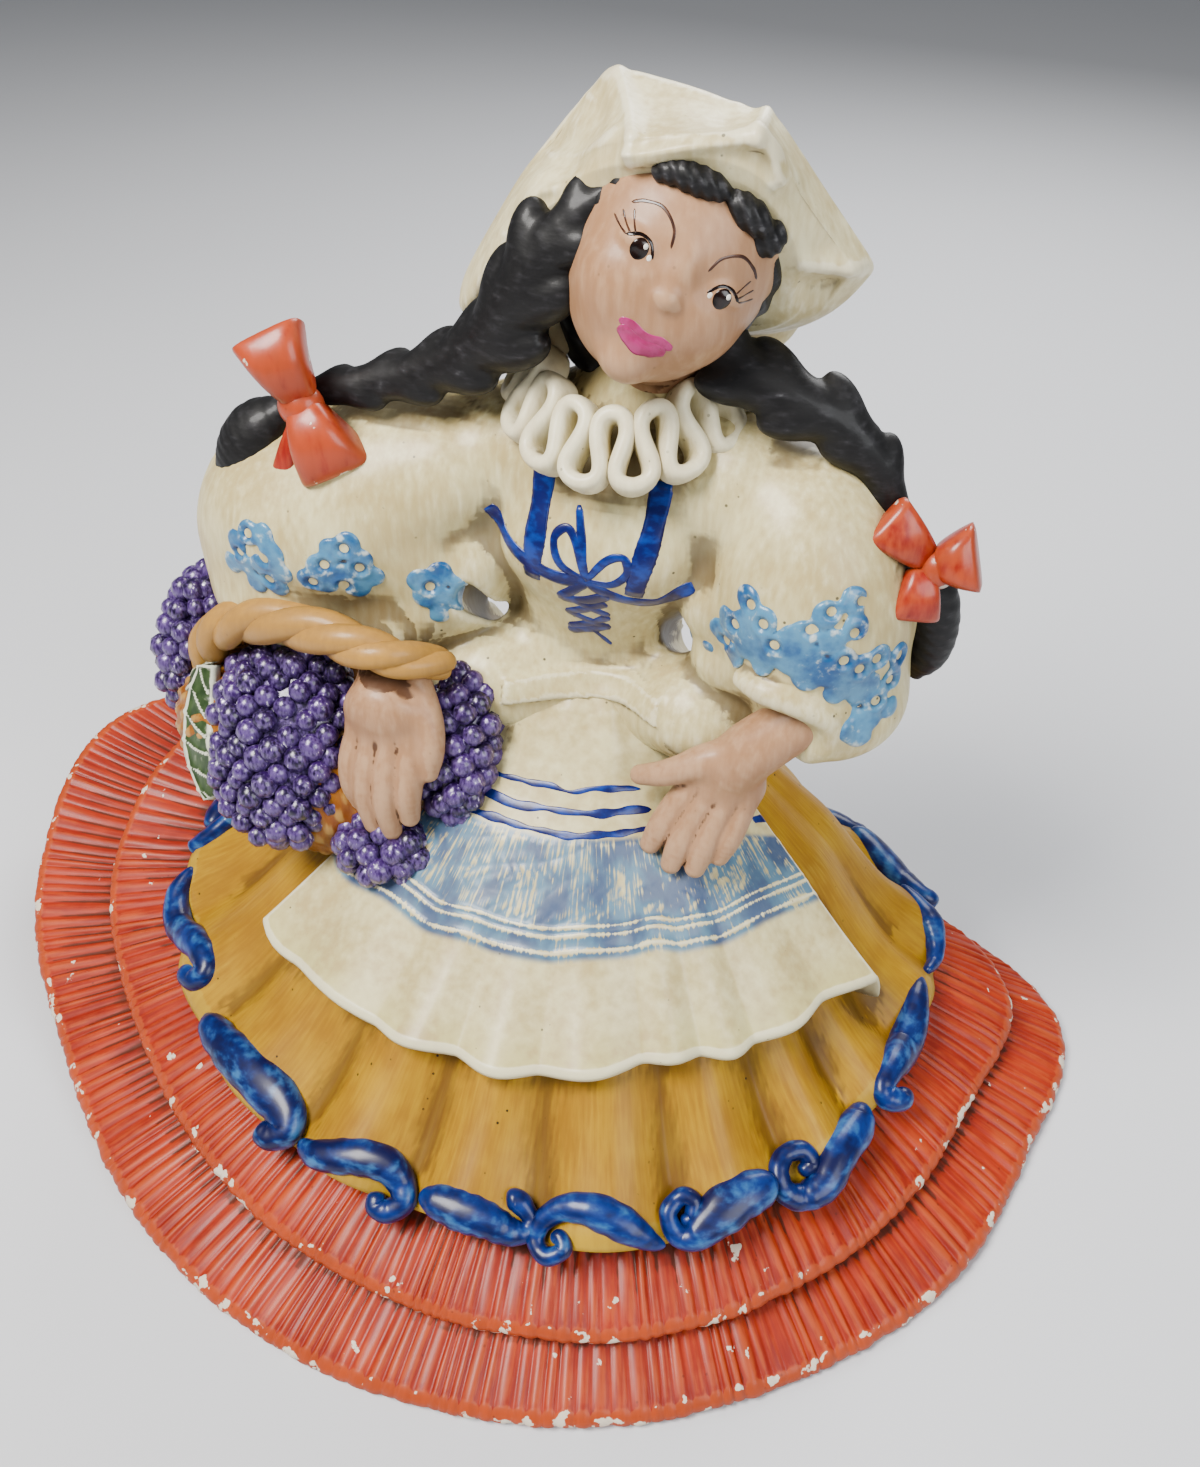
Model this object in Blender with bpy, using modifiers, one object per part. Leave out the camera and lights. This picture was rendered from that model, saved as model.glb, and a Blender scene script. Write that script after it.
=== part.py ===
"""A slip-cast ceramic figurine of a girl in a wide skirt who carries a basket of grapes on her
right hip. It is one piece, cast whole, so it is one solid.

The frame is her own: she faces -Y, her left hand is towards +X, and the ground is at Z = 0 under
her waist. The pose and the carving are shares of her height: one PART of length is 1/230 of it.
Every form is a closed shape; they are fused into one skin, thinned, and cut flat underneath."""

import math

import bmesh
import bpy
import numpy as np
from mathutils import Euler, Matrix, Vector

# Driving sizes, in metres
HEIGHT = 0.230  # from the table to the peak of the headcloth
HEM_EDGE = 0.0046  # thickness of the lower tier's worn edge
TIER_EDGE = 0.0040  # thickness of the upper tier's edge
YELLOW_EDGE = 0.0034  # thickness of the yellow overskirt's edge
APRON_THICK = 0.0036  # how far the apron stands off the skirt
SCROLL_THICK = 0.0078  # across one blue scroll of the border
RIBBON_THICK = 0.0031  # across the ribbon of the ruff
ROPE_THICK = 0.0086  # across the basket's rope handle
GRAPE_ACROSS = 0.0066  # across one grape
FINGER_THICK = 0.0054  # across one finger
SCROLL_COUNT = 19  # scrolls round the whole border
SKIN_GRAIN = 0.00105  # cell of the fused skin
TRIANGLES = 9400  # faces left in the skin

PART = HEIGHT / 230

# Reach of each hem, in parts, from straight ahead round by her left in equal steps of direction
STEP_DEGREES = 20
LOWER_SHARE = (119, 116.5, 115.5, 116, 117.5, 123.5, 99, 85, 77, 74, 77, 88, 118, 160, 157, 138, 128.5, 122.5)
UPPER_SHARE = (105.5, 105, 103, 101, 101, 105, 87, 74, 67, 65, 67, 76, 97, 124, 131, 119, 111, 107)
YELLOW_SHARE = (92.5, 94, 91, 86.5, 83.5, 86, 76, 67, 60, 58, 60, 68, 80, 96, 105, 104, 99.5, 96)
UPPER_HEM_SHARE, YELLOW_HEM_SHARE = 12.5, 28  # heights of the upper two hems, in parts
YELLOW_FOLDS = 17
YELLOW_WAVE_SHARE = 1.7  # depth of one of those folds
SWIRL_AT_DEGREES = -100  # direction in which the hem swings up, in degrees towards her left
SWIRL_DEGREES = 26
SWIRL_SHARE = 32

# Height of the skirt's cone against the share of the yellow skirt's reach
CONE_SHARE = (0, 0.185, 0.29, 0.40, 0.51, 0.61, 0.72, 0.85, 1.0, 1.15, 1.3, 1.52)
CONE_RISE_SHARE = (118, 112, 97, 87.5, 77.5, 69, 59, 47, 34, 22, 12, 2)


def clear_scene():
    for item in list(bpy.data.objects):
        bpy.data.objects.remove(item, do_unlink=True)


def new_collection(name):
    made = bpy.data.collections.new(name)
    bpy.context.scene.collection.children.link(made)
    return made


def glazed_paint(name, colour, roughness):
    paint = bpy.data.materials.new(name)
    paint.use_nodes = True
    shader = paint.node_tree.nodes["Principled BSDF"]
    shader.inputs["Base Color"].default_value = (*colour, 1)
    shader.inputs["Roughness"].default_value = roughness
    shader.inputs["Metallic"].default_value = 0
    return paint


def object_from(name, vertices, faces, collection):
    mesh = bpy.data.meshes.new(name)
    mesh.from_pydata([tuple(v) for v in vertices], [], [tuple(f) for f in faces])
    made = bpy.data.objects.new(name, mesh)
    collection.objects.link(made)
    return made


def loft(name, rings, collection):
    """Closed skin through rings of equally many points, with a flat fan at each end."""
    rings = np.asarray(rings) * PART
    count, around = rings.shape[:2]
    vertices = np.concatenate([rings.reshape(-1, 3), [rings[0].mean(axis=0), rings[-1].mean(axis=0)]])
    faces = []
    for row in range(count - 1):
        for i in range(around):
            j = (i + 1) % around
            a, b = row * around, (row + 1) * around
            faces.append((a + i, a + j, b + j, b + i))
    first, last = count * around, count * around + 1
    for i in range(around):
        j = (i + 1) % around
        faces.append((first, j, i))
        faces.append((last, (count - 1) * around + i, (count - 1) * around + j))
    made = object_from(name, vertices, faces, collection)
    face_outwards(made.data)
    return made


def face_outwards(mesh):
    work = bmesh.new()
    work.from_mesh(mesh)
    bmesh.ops.recalc_face_normals(work, faces=work.faces)
    if work.calc_volume(signed=True) < 0:
        bmesh.ops.reverse_faces(work, faces=work.faces)
    work.to_mesh(mesh)
    work.free()


def ball(name, centre, radii, collection, turn=(0, 0, 0), parts=(28, 18)):
    """A sphere drawn out to three radii, turned by degrees and put at its centre."""
    work = bmesh.new()
    bmesh.ops.create_uvsphere(work, u_segments=parts[0], v_segments=parts[1], radius=1)
    turned = Euler([math.radians(a) for a in turn]).to_matrix()
    for vertex in work.verts:
        drawn = Vector([vertex.co[i] * radii[i] * PART for i in range(3)])
        vertex.co = turned @ drawn + Vector(centre) * PART
    mesh = bpy.data.meshes.new(name)
    work.to_mesh(mesh)
    work.free()
    made = bpy.data.objects.new(name, mesh)
    collection.objects.link(made)
    return made


def through(before, start, end, after, share):
    """The point at a share of the way from start to end, on the Catmull-Rom curve through all four."""
    bend = 2 * before - 5 * start + 4 * end - after
    twist = 3 * start - before - 3 * end + after
    return 0.5 * (2 * start + (end - before) * share + bend * share**2 + twist * share**3)


def smooth_path(points, steps=6):
    """A curve that runs through every point, as a list of close points (Catmull-Rom)."""
    points = np.asarray(points, float)
    ends = np.concatenate([[2 * points[0] - points[1]], points, [2 * points[-1] - points[-2]]])
    shares = np.linspace(0, 1, steps, endpoint=False)[:, None]
    corners = zip(ends[:-3], ends[1:-2], ends[2:-1], ends[3:])
    return np.concatenate([*(through(*four, shares) for four in corners), points[-1:]])


def tube(name, points, radii, collection, steps=6):
    """A round rod along a smooth path, its radius changing from point to point."""
    rows = np.column_stack([np.asarray(points, float), np.broadcast_to(radii, len(points))])
    path = smooth_path(rows, steps)
    curve = bpy.data.curves.new(name, "CURVE")
    curve.dimensions = "3D"
    curve.bevel_depth = PART
    curve.bevel_resolution = 3
    curve.use_fill_caps = True
    spline = curve.splines.new("POLY")
    spline.points.add(len(path) - 1)
    for point, row in zip(spline.points, path):
        point.co = (*(row[:3] * PART), 1)
        point.radius = max(row[3], 0.3)
    drawn = bpy.data.objects.new(name + "_line", curve)
    collection.objects.link(drawn)
    mesh = bpy.data.meshes.new_from_object(drawn.evaluated_get(bpy.context.evaluated_depsgraph_get()))
    work = bmesh.new()
    work.from_mesh(mesh)
    bmesh.ops.remove_doubles(work, verts=work.verts, dist=1e-6)
    work.to_mesh(mesh)
    work.free()
    made = bpy.data.objects.new(name, mesh)
    made.matrix_world = drawn.matrix_world
    collection.objects.link(made)
    bpy.data.objects.remove(drawn, do_unlink=True)
    face_outwards(made.data)
    return made


def soft_cage(name, vertices, faces, collection, levels=3):
    """A coarse cage rounded by subdivision."""
    made = object_from(name, np.asarray(vertices, float) * PART, faces, collection)
    face_outwards(made.data)
    rounding = made.modifiers.new("rounding", "SUBSURF")
    rounding.levels = levels
    rounding.render_levels = levels
    return made


def along(values, degrees):
    """Smooth value in a direction, from values given at equal steps round the circle."""
    values = np.asarray(values, float)
    place = np.asarray(degrees, float) / STEP_DEGREES
    low = np.floor(place).astype(int)
    share = place - low
    return through(*(values[(low + k) % len(values)] for k in (-1, 0, 1, 2)), share)


def turn_towards(degrees):
    """Unit direction on the ground, from straight ahead towards her left."""
    angle = np.radians(degrees)
    return np.stack([np.sin(angle), -np.cos(angle)], axis=-1)


def swirl(degrees):
    """How far the hem swings up in a direction."""
    off = (np.asarray(degrees, float) - SWIRL_AT_DEGREES + 180) % 360 - 180
    return SWIRL_SHARE * np.exp(-((off / SWIRL_DEGREES) ** 2))


def cone_height(reach, degrees):
    return np.interp(np.asarray(reach) / along(YELLOW_SHARE, degrees), CONE_SHARE, CONE_RISE_SHARE)


def folds(degrees, count, depth, lean=0.0):
    angle = np.radians(degrees)
    return depth * (np.cos(count * angle + lean) + 0.35 * np.cos((count * 2 + 1) * angle + 1.3))


def bell(name, reach, hem_height, edge, slope, fold_count, fold_depth, lift_share, collection):
    """One skirt layer: a thick worn edge at the hem, and a top that climbs the cone to the waist."""
    around = np.arange(0, 360, 1.5)
    way = turn_towards(around)
    rim = along(reach, around) + folds(around, fold_count, fold_depth)
    lift = swirl(around) * lift_share
    low = hem_height + lift
    rows = []

    def ring(distance, height):
        rows.append(np.column_stack([way * np.asarray(distance)[:, None], height]))

    ring(rim * 0.50, np.full(len(around), -3.0))
    ring(rim * 0.72, low * 0.5 - 3)
    ring(rim - edge, low - 1.2)
    ring(rim - 0.25 * edge, low - 0.6)
    ring(rim, low + 0.35 * edge)
    ring(rim - 0.15 * edge, low + 0.8 * edge)
    ring(rim - 0.6 * edge, low + edge)
    for share in (0.93, 0.87, 0.80, 0.70, 0.60, 0.50, 0.40, 0.30, 0.20):
        distance = rim * share
        own = hem_height + edge + (rim - distance) * slope + lift * share**4
        mix = np.clip((0.88 - share) / 0.28, 0, 1)
        wave = folds(around, fold_count, fold_depth) * np.clip(share * 1.15 - 0.25, 0, 1)
        above = cone_height(distance, around) + lift * share**4
        ring(distance, own * (1 - mix) + above * mix + wave)
    return loft(name, rows, collection)


def skirt(collection):
    edges = [edge / PART for edge in (HEM_EDGE, TIER_EDGE, YELLOW_EDGE)]
    return [
        bell("lower_tier", LOWER_SHARE, 0, edges[0], 0.36, 13, 1.1, 1.0, collection),
        bell("upper_tier", UPPER_SHARE, UPPER_HEM_SHARE, edges[1], 0.42, 13, 1.3, 0.95, collection),
        bell("yellow_skirt", YELLOW_SHARE, YELLOW_HEM_SHARE, edges[2], 0.75, YELLOW_FOLDS, YELLOW_WAVE_SHARE,
             0.45, collection),
    ]


def scrolls(collection):
    """Raised comma scrolls laid along the yellow hem: a swelling stroke that rolls up into a ball.
    The ball is at the end nearer to her left on her right side, and at the other end beyond."""
    made = []
    half = SCROLL_THICK / PART / 2
    pitch = 360 / SCROLL_COUNT
    swell = half * np.array([0.45, 0.8, 0.95, 1.0, 1.0, 0.95, 0.9, 0.85, 0.85])
    for k in range(SCROLL_COUNT):
        middle = (k + 0.5 - SCROLL_COUNT / 2) * pitch - 6
        way = 1 if middle < -6 else -1
        degrees = middle + way * pitch * np.linspace(-0.54, 0.34, len(swell))
        reach = along(YELLOW_SHARE, degrees) + folds(degrees, YELLOW_FOLDS, YELLOW_WAVE_SHARE)
        reach = reach + 0.4 + 1.1 * np.sin(np.linspace(0.3, 2 * math.pi, len(swell)))
        height = YELLOW_HEM_SHARE + swirl(degrees) * 0.45 + YELLOW_EDGE / PART * 0.85
        line = np.column_stack([turn_towards(degrees) * reach[:, None], height])
        made.append(tube(f"scroll_{k}", line, swell, collection, 3))
        end = line[-1] + np.array([*turn_towards(degrees[-1]) * 1.6, -1.2])
        made.append(ball(f"scroll_end_{k}", end, (half * 1.1,) * 3, collection, parts=(14, 10)))
    return made


APRON_FROM_DEGREES, APRON_TO_DEGREES = -52, 76  # directions of its two side edges at the hem
APRON_AT_DEGREES = (-52, -33, -16, 0, 15, 30, 50, 76)
APRON_SHARE = (83, 76, 74, 73, 72, 69, 70, 76)


def apron(collection):
    """A cloth panel that follows the skirt's cone and kicks out at its thick ruffled hem."""
    thick = APRON_THICK / PART
    columns = np.linspace(0, 1, 90)
    at = APRON_FROM_DEGREES + (APRON_TO_DEGREES - APRON_FROM_DEGREES) * columns
    reach = np.interp(at, APRON_AT_DEGREES, APRON_SHARE) + folds(at, YELLOW_FOLDS, 1.1)
    near_side = np.minimum(1, np.minimum(columns, 1 - columns) * 60)
    rings = []
    for share in (0.20, 0.30, 0.40, 0.50, 0.60, 0.70, 0.80, 0.87, 0.93, 0.975, 1.0):
        degrees = 13 + (at - 13) * (1 + 0.10 * (1 - share))
        kick = max(0, (share - 0.78) / 0.22) ** 1.5
        distance = reach * share
        stand = (thick + 3.2 * kick) * near_side + folds(at, YELLOW_FOLDS, 1.1) * share**2
        top = cone_height(distance, degrees) + stand
        sides = turn_towards(degrees)
        outer = np.column_stack([sides * distance[:, None], top])
        inner = np.column_stack([sides * (distance - 2.5)[:, None], top - thick - 1.5 - 3 * (1 - share)])
        rings.append(np.concatenate([outer, inner[::-1]]))
    return [loft("apron", rings, collection)]


BODY_RISE_SHARE = (104, 109, 113, 117, 122, 130, 138, 146, 154, 162, 169, 175, 182, 190)
BODY_WIDE_SHARE = (23, 21.5, 20.5, 17.5, 17.5, 19.5, 22.5, 25, 26, 26, 23, 16, 10.5, 9)
BODY_DEEP_SHARE = (20, 18.5, 17, 14, 13.8, 16, 18.8, 20.5, 19.5, 17.5, 15, 12.5, 9.5, 8.5)
BODY_SIDE_SHARE = (0, 0, 0, 0, 0.3, 1.5, 3, 4.5, 5.8, 7, 8.5, 10, 12, 14)
BODY_FORE_SHARE = (0, 0, 0, 0, 0, -0.5, -1.2, -1.8, -1.5, -0.5, 0.5, 0, -1.5, -3)


def body(collection):
    """Belt, bodice, shoulders and neck as one lofted trunk that leans to her left."""
    angle = np.radians(np.arange(0, 360, 6))
    sizes = zip(BODY_RISE_SHARE, BODY_WIDE_SHARE, BODY_DEEP_SHARE, BODY_SIDE_SHARE, BODY_FORE_SHARE)
    rings = []
    for z, wide, deep, side, fore in sizes:
        across, back = side + wide * np.sin(angle), fore - deep * np.cos(angle)
        rings.append(np.column_stack([across, back, np.full(len(angle), z)]))
    rows = np.asarray(rings).reshape(len(rings), -1)
    fine = smooth_path(rows, 4).reshape(-1, len(angle), 3)
    trunk = loft("trunk", fine, collection)
    bust = [
        ball("bust_right", (-4, -13, 147), (10.5, 8.5, 10), collection),
        ball("bust_left", (13, -13, 148), (10.5, 8.5, 10), collection),
    ]
    return [trunk, *bust]


def sleeves(collection):
    """Two big puffed sleeves with a gathered cuff, and the shoulders that they hang from."""
    return [
        ball("sleeve_right", (-55, -5, 141.5), (35, 25, 23), collection, turn=(0, -20, 0)),
        ball("sleeve_right_top", (-36, -4, 153), (24, 19, 16), collection, turn=(0, -14, 0)),
        ball("shoulder_right", (-14, -2, 161), (18, 14, 12), collection, turn=(0, -12, 0)),
        ball("sleeve_left", (45.5, -8, 141), (19.5, 21, 31), collection, turn=(-4, -16, 0)),
        ball("shoulder_left", (31, -4, 160), (17, 15, 14), collection, turn=(0, 35, 0)),
        ball("cuff_left", (51, -16, 116), (14, 13, 9), collection, turn=(14, -12, 0)),
        ball("elbow_right", (-62, -16, 122), (24, 16, 12), collection, turn=(0, -4, 0)),
    ]


def hand(name, wrist, knuckles, tips, thumb, palm, collection):
    """A forearm end, a flat palm and four fingers laid side by side, with a thumb."""
    half = FINGER_THICK / PART / 2
    made = [tube(name + "_palm", [wrist[0], wrist[1], *palm], [7.5, 6.0, 7.4, 7.2], collection)]
    for k, (root, tip) in enumerate(zip(knuckles, tips)):
        middle = (np.asarray(root) + np.asarray(tip)) / 2 + np.array([0, -1.2, 0.8])
        radii = [half * 1.15, half, half * 0.8]
        made.append(tube(f"{name}_finger_{k}", [root, middle, tip], radii, collection))
    made.append(tube(name + "_thumb", thumb, [half * 1.2, half * 1.05, half * 0.8], collection))
    return made


def hands(collection):
    left = hand(
        "left_hand",
        [(54, -18, 120), (43, -24, 117)],
        [(28, -29, 104), (31, -30.5, 102.5), (34.5, -30.5, 102.5), (38, -28, 104)],
        [(20.5, -33, 89), (25.5, -35, 86.5), (31, -34.5, 86.5), (36.5, -31.5, 90)],
        [(37, -26, 114), (27, -28, 111), (18, -28.5, 105)],
        [(36, -26.5, 111), (33, -28, 105)],
        collection,
    )
    right = hand(
        "right_hand",
        [(-44, -17, 128), (-38, -28, 124)],
        [(-41, -37, 105), (-36.5, -39, 104), (-32, -39.5, 104.5), (-28, -38, 106)],
        [(-41.5, -40, 92), (-38, -42.5, 86), (-33, -42.5, 85), (-28.5, -41, 91)],
        [(-33, -32, 118), (-27, -35, 113), (-24, -38, 105)],
        [(-35, -33, 116), (-34, -36, 108)],
        collection,
    )
    return left + right


def grapes(name, centre, radii, turn, collection, first_turn=0.0):
    """A mound of grapes: a core, and balls spread evenly over it along a golden-angle spiral."""
    half = GRAPE_ACROSS / PART / 2
    made = [ball(name, centre, radii, collection, turn)]
    squares = [(radii[i] * radii[j]) ** 1.6 for i, j in ((0, 1), (0, 2), (1, 2))]
    surface = 4 * math.pi * (sum(squares) / 3) ** (1 / 1.6)
    count = max(8, int(surface / (half * 1.75) ** 2))
    turned = Euler([math.radians(a) for a in turn]).to_matrix()
    for k in range(count):
        up = 1 - 2 * (k + 0.5) / count
        flat = math.sqrt(1 - up * up)
        angle = k * math.pi * (3 - math.sqrt(5)) + first_turn
        spot = Vector((flat * math.cos(angle) * radii[0], flat * math.sin(angle) * radii[1], up * radii[2]))
        place = turned @ spot + Vector(centre)
        if place.y < -4 and place.z > 52:
            made.append(ball(f"{name}_{k}", place, (half,) * 3, collection, parts=(8, 6)))
    return made


def basket(collection):
    """A wicker bowl on her right hip, heaped with grapes, with a leaf and a rope handle."""
    half = ROPE_THICK / PART / 2
    made = [
        ball("bowl", (-58, -20, 86), (38, 25, 24), collection, turn=(28, 12, 0)),
        tube(
            "bowl_rim",
            [(-96, -14, 92), (-88, -32, 78), (-70, -42, 68), (-50, -45, 66), (-30, -43, 73), (-17, -33, 88)],
            3.0,
            collection,
        ),
        tube(
            "handle",
            [(-88, -22, 108), (-78, -24, 119), (-66, -26, 125), (-52, -27, 128), (-38, -27, 128),
             (-22, -22, 122)],
            [half, half * 1.1, half * 1.15, half * 1.1, half, half * 0.8],
            collection,
        ),
        soft_cage(
            "leaf",
            [
                (-84, -24, 112), (-80, -27, 111), (-92, -22, 98), (-80, -32, 96),
                (-92, -26, 86), (-79, -36, 84), (-83, -34, 74), (-79, -36, 74),
                (-82, -18, 110), (-78, -20, 110), (-88, -16, 97), (-76, -26, 95),
                (-88, -20, 85), (-75, -30, 83), (-80, -28, 73), (-76, -30, 73),
            ],
            [
                (0, 1, 3, 2), (2, 3, 5, 4), (4, 5, 7, 6), (8, 10, 11, 9), (10, 12, 13, 11), (12, 14, 15, 13),
                (0, 8, 9, 1), (6, 7, 15, 14), (0, 2, 10, 8), (2, 4, 12, 10), (4, 6, 14, 12),
                (1, 9, 11, 3), (3, 11, 13, 5), (5, 13, 15, 7),
            ],
            collection,
            2,
        ),
    ]
    made += grapes("grapes_front", (-61, -33, 97), (16.5, 11, 23), (-32, 0, 0), collection)
    made += grapes("grapes_right", (-22, -28, 102), (7.5, 7, 17), (-28, 0, 0), collection, 1.0)
    made += grapes("grapes_low", (-36, -43, 80), (10, 5.5, 7), (-30, 0, 0), collection, 2.0)
    made += grapes("grapes_back", (-91, -15, 104), (9, 8, 19), (-12, 14, 0), collection, 3.0)
    return made


HEAD_AT_SHARE = (19.5, -9, 202)
HEAD_TILT, HEAD_TURN, HEAD_NOD = 25, 15, 12  # degrees to her left, round to her left, and back


def head_frame():
    """Turn of the head: +X her left, -Y her face, +Z her crown."""
    tilt = Matrix.Rotation(math.radians(HEAD_TILT), 3, "Y")
    turn = Matrix.Rotation(math.radians(HEAD_TURN), 3, "Z")
    nod = Matrix.Rotation(math.radians(-HEAD_NOD), 3, "X")
    return turn @ tilt @ nod


def on_head(point):
    return tuple(head_frame() @ Vector(point) + Vector(HEAD_AT_SHARE))


def head(collection):
    """The face is a soft egg with cheeks, chin, brow and a small nose."""
    degrees = [math.degrees(a) for a in head_frame().to_euler()]
    return [
        ball("skull", on_head((0, 1, 2)), (17.5, 17, 18), collection, degrees),
        ball("jaw", on_head((0, -3, -8)), (13.5, 12.5, 11.5), collection, degrees),
        ball("cheek_right", on_head((-7.5, -9, -4.5)), (7, 6.5, 6.5), collection, degrees),
        ball("cheek_left", on_head((7.5, -9, -4.5)), (7, 6.5, 6.5), collection, degrees),
        ball("nose", on_head((0, -16.6, -2.4)), (2.6, 2.6, 2.4), collection, degrees, (12, 8)),
        ball("nose_bridge", on_head((0, -15.2, 1.5)), (2.4, 2.0, 4.5), collection, degrees, (12, 8)),
        ball("lips", on_head((0, -15.0, -7.6)), (4.2, 1.9, 1.7), collection, degrees, (12, 8)),
        ball("chin", on_head((0, -12.4, -13.6)), (4.6, 4.2, 3.8), collection, degrees, (12, 8)),
        tube("neck", [(8, -1, 168), (11, -2, 178), (15, -5, 190)], [11, 9, 9.5], collection),
    ]


def braid(name, points, radii, collection, lobes):
    """A thick plait: fat lobes set alternately left and right of its line."""
    rows = smooth_path(np.column_stack([points, radii]), 8)
    made = [tube(name, points, np.asarray(radii) * 0.82, collection)]
    places = np.linspace(0, len(rows) - 1, lobes).astype(int)
    for k, i in enumerate(places):
        row = rows[i]
        ahead = rows[min(i + 1, len(rows) - 1)][:3] - rows[max(i - 1, 0)][:3]
        ahead = Vector(ahead).normalized()
        side = ahead.cross(Vector((0, -0.8, 0.6))).normalized() * (0.33 * row[3] * (1 if k % 2 else -1))
        facing = (ahead * 0.85 + side.normalized() * 0.5).to_track_quat("X", "Z").to_euler()
        turn = [math.degrees(a) for a in facing]
        spot = Vector(row[:3]) + side
        lobe = (row[3], row[3] * 0.8, row[3] * 0.72)
        made.append(ball(f"{name}_lobe_{k}", spot, lobe, collection, turn, (16, 10)))
    return made


def hair(collection):
    right = braid(
        "braid_right",
        [(10, -19, 216), (0, -17, 210), (-5, -15, 201), (-9.5, -14, 192), (-16, -13, 184.5), (-24, -12, 179),
         (-35, -11, 176), (-47, -11, 172), (-57, -11, 167)],
        (4, 6.3, 7.2, 7.4, 7.2, 6.6, 5.8, 5.2, 4.6),
        collection,
        12,
    )
    left = braid(
        "braid_left",
        [(27, -9, 186), (35, -8.5, 181), (43.5, -7.5, 176.5), (50, -6.5, 170.5), (55, -6, 164),
         (59, -5.5, 157)],
        (6.2, 6.6, 6.4, 6.4, 5.8, 5.0),
        collection,
        8,
    )
    turned = [math.degrees(a) for a in head_frame().to_euler()]
    return [
        *right,
        *left,
        ball("tail_right", (-71, -10, 156), (7.5, 6.5, 10.5), collection, (0, 32, 0)),
        tube(
            "tail_left",
            [(66, -3, 150), (70, -3, 142), (71.5, -2, 132), (69.5, -1, 122)],
            [4.5, 5.2, 5.0, 2.5],
            collection,
        ),
        ball("hair_cap", on_head((0, 3, 3)), (18.8, 17, 18), collection, turned),
        ball("hair_nape", (5, 4, 184), (15, 12, 14), collection, (0, 20, 0)),
        ball("curl_0", on_head((2.5, -13.0, 14.0)), (5.2, 2.8, 3.0), collection, (0, 30, 0), (14, 8)),
        ball("curl_1", on_head((9.5, -10.5, 11.0)), (4.6, 2.8, 3.2), collection, (0, 50, 0), (14, 8)),
    ]


def headcloth(collection):
    """A folded cloth over the crown: a bright panel above the brow, a hollow at its right, and a wide
    back that falls to a point on either side. The rows run from the brow to the nape, and each from
    her right to her left."""
    brow = [(-29, 0, 180), (-17, -3, 198), (-5, -11, 211.5), (11, -19, 219),
            (21, -21.5, 222), (31, -19, 222), (39.5, -12, 206.5), (36.5, -3, 188)]
    fold = [(-31, 1, 180.5), (-19.5, 1, 199), (-7, -6, 214.5), (7, -14, 222),
            (18, -19, 225), (30, -13, 224.5), (45, -4, 202), (38, 1, 187)]
    ridge = [(-34.5, 4, 179), (-22.5, 4, 197.5), (-10.5, 2, 216), (1, 0, 231),
             (15.5, -2, 229.6), (28.5, -3, 225), (50, 3, 198.5), (39.5, 4, 184)]
    back = [(-33, 15, 176), (-23, 18, 193), (-11, 20, 208), (2, 19, 220), (16, 18, 220), (28, 17, 214),
            (38, 15, 196), (34, 13, 182)]
    nape = [(-29, 17, 168), (-20, 20, 171), (-10, 22, 172), (2, 22, 174), (14, 22, 174), (24, 20, 174),
            (33, 17, 174), (32, 14, 175)]
    rows = [brow, fold, ridge, back, nape]
    wide = len(brow)
    vertices = [point for row in rows for point in row]
    faces = []
    for r in range(len(rows) - 1):
        for i in range(wide - 1):
            a, b = r * wide + i, (r + 1) * wide + i
            faces.append((a, a + 1, b + 1, b))
    inside = len(vertices)
    vertices += [(2, -2, 186), (20, -4, 190)]
    edge = [r * wide for r in range(len(rows))][::-1] + list(range(1, wide))
    edge += [r * wide + wide - 1 for r in range(1, len(rows))]
    edge += [(len(rows) - 1) * wide + i for i in range(wide - 2, 0, -1)]
    for i, a in enumerate(edge):
        b = edge[(i + 1) % len(edge)]
        faces.append((a, inside, b))
    del vertices[-1]
    cloth = object_from("headcloth", np.asarray(vertices) * PART, faces, collection)
    face_outwards(cloth.data)
    crease = cloth.data.attributes.new("crease_edge", "FLOAT", "EDGE")
    sharp = {frozenset((2 * wide + i, 2 * wide + i + 1)) for i in range(wide - 1)}
    sharp |= {frozenset((wide + 3, 2 * wide + 3)), frozenset((wide + 5, 2 * wide + 5))}
    for line in cloth.data.edges:
        crease.data[line.index].value = 0.75 if frozenset(line.vertices) in sharp else 0.0
    rounding = cloth.modifiers.new("rounding", "SUBSURF")
    rounding.levels = 2
    rounding.render_levels = 2
    return [cloth]


def ruff(collection):
    """A ribbon that runs round the neck in deep S folds, lying on the shoulders."""
    half = RIBBON_THICK / PART / 2
    points = []
    turns = 8
    for share in np.linspace(0, 1, turns * 12 + 1):
        wave = share * turns * 2 * math.pi
        degrees = -104 + 208 * share + 4.5 * math.sin(2 * wave)
        out = math.cos(wave)
        way = turn_towards(degrees)
        front = math.cos(math.radians(degrees))
        reach = 17.5 + 3.4 * out
        points.append((9.5 + way[0] * reach, -3 + way[1] * reach, 178.5 - 7 * front - 5.0 * out))
    return [tube("ruff", points, half, collection, 1)]


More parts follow.
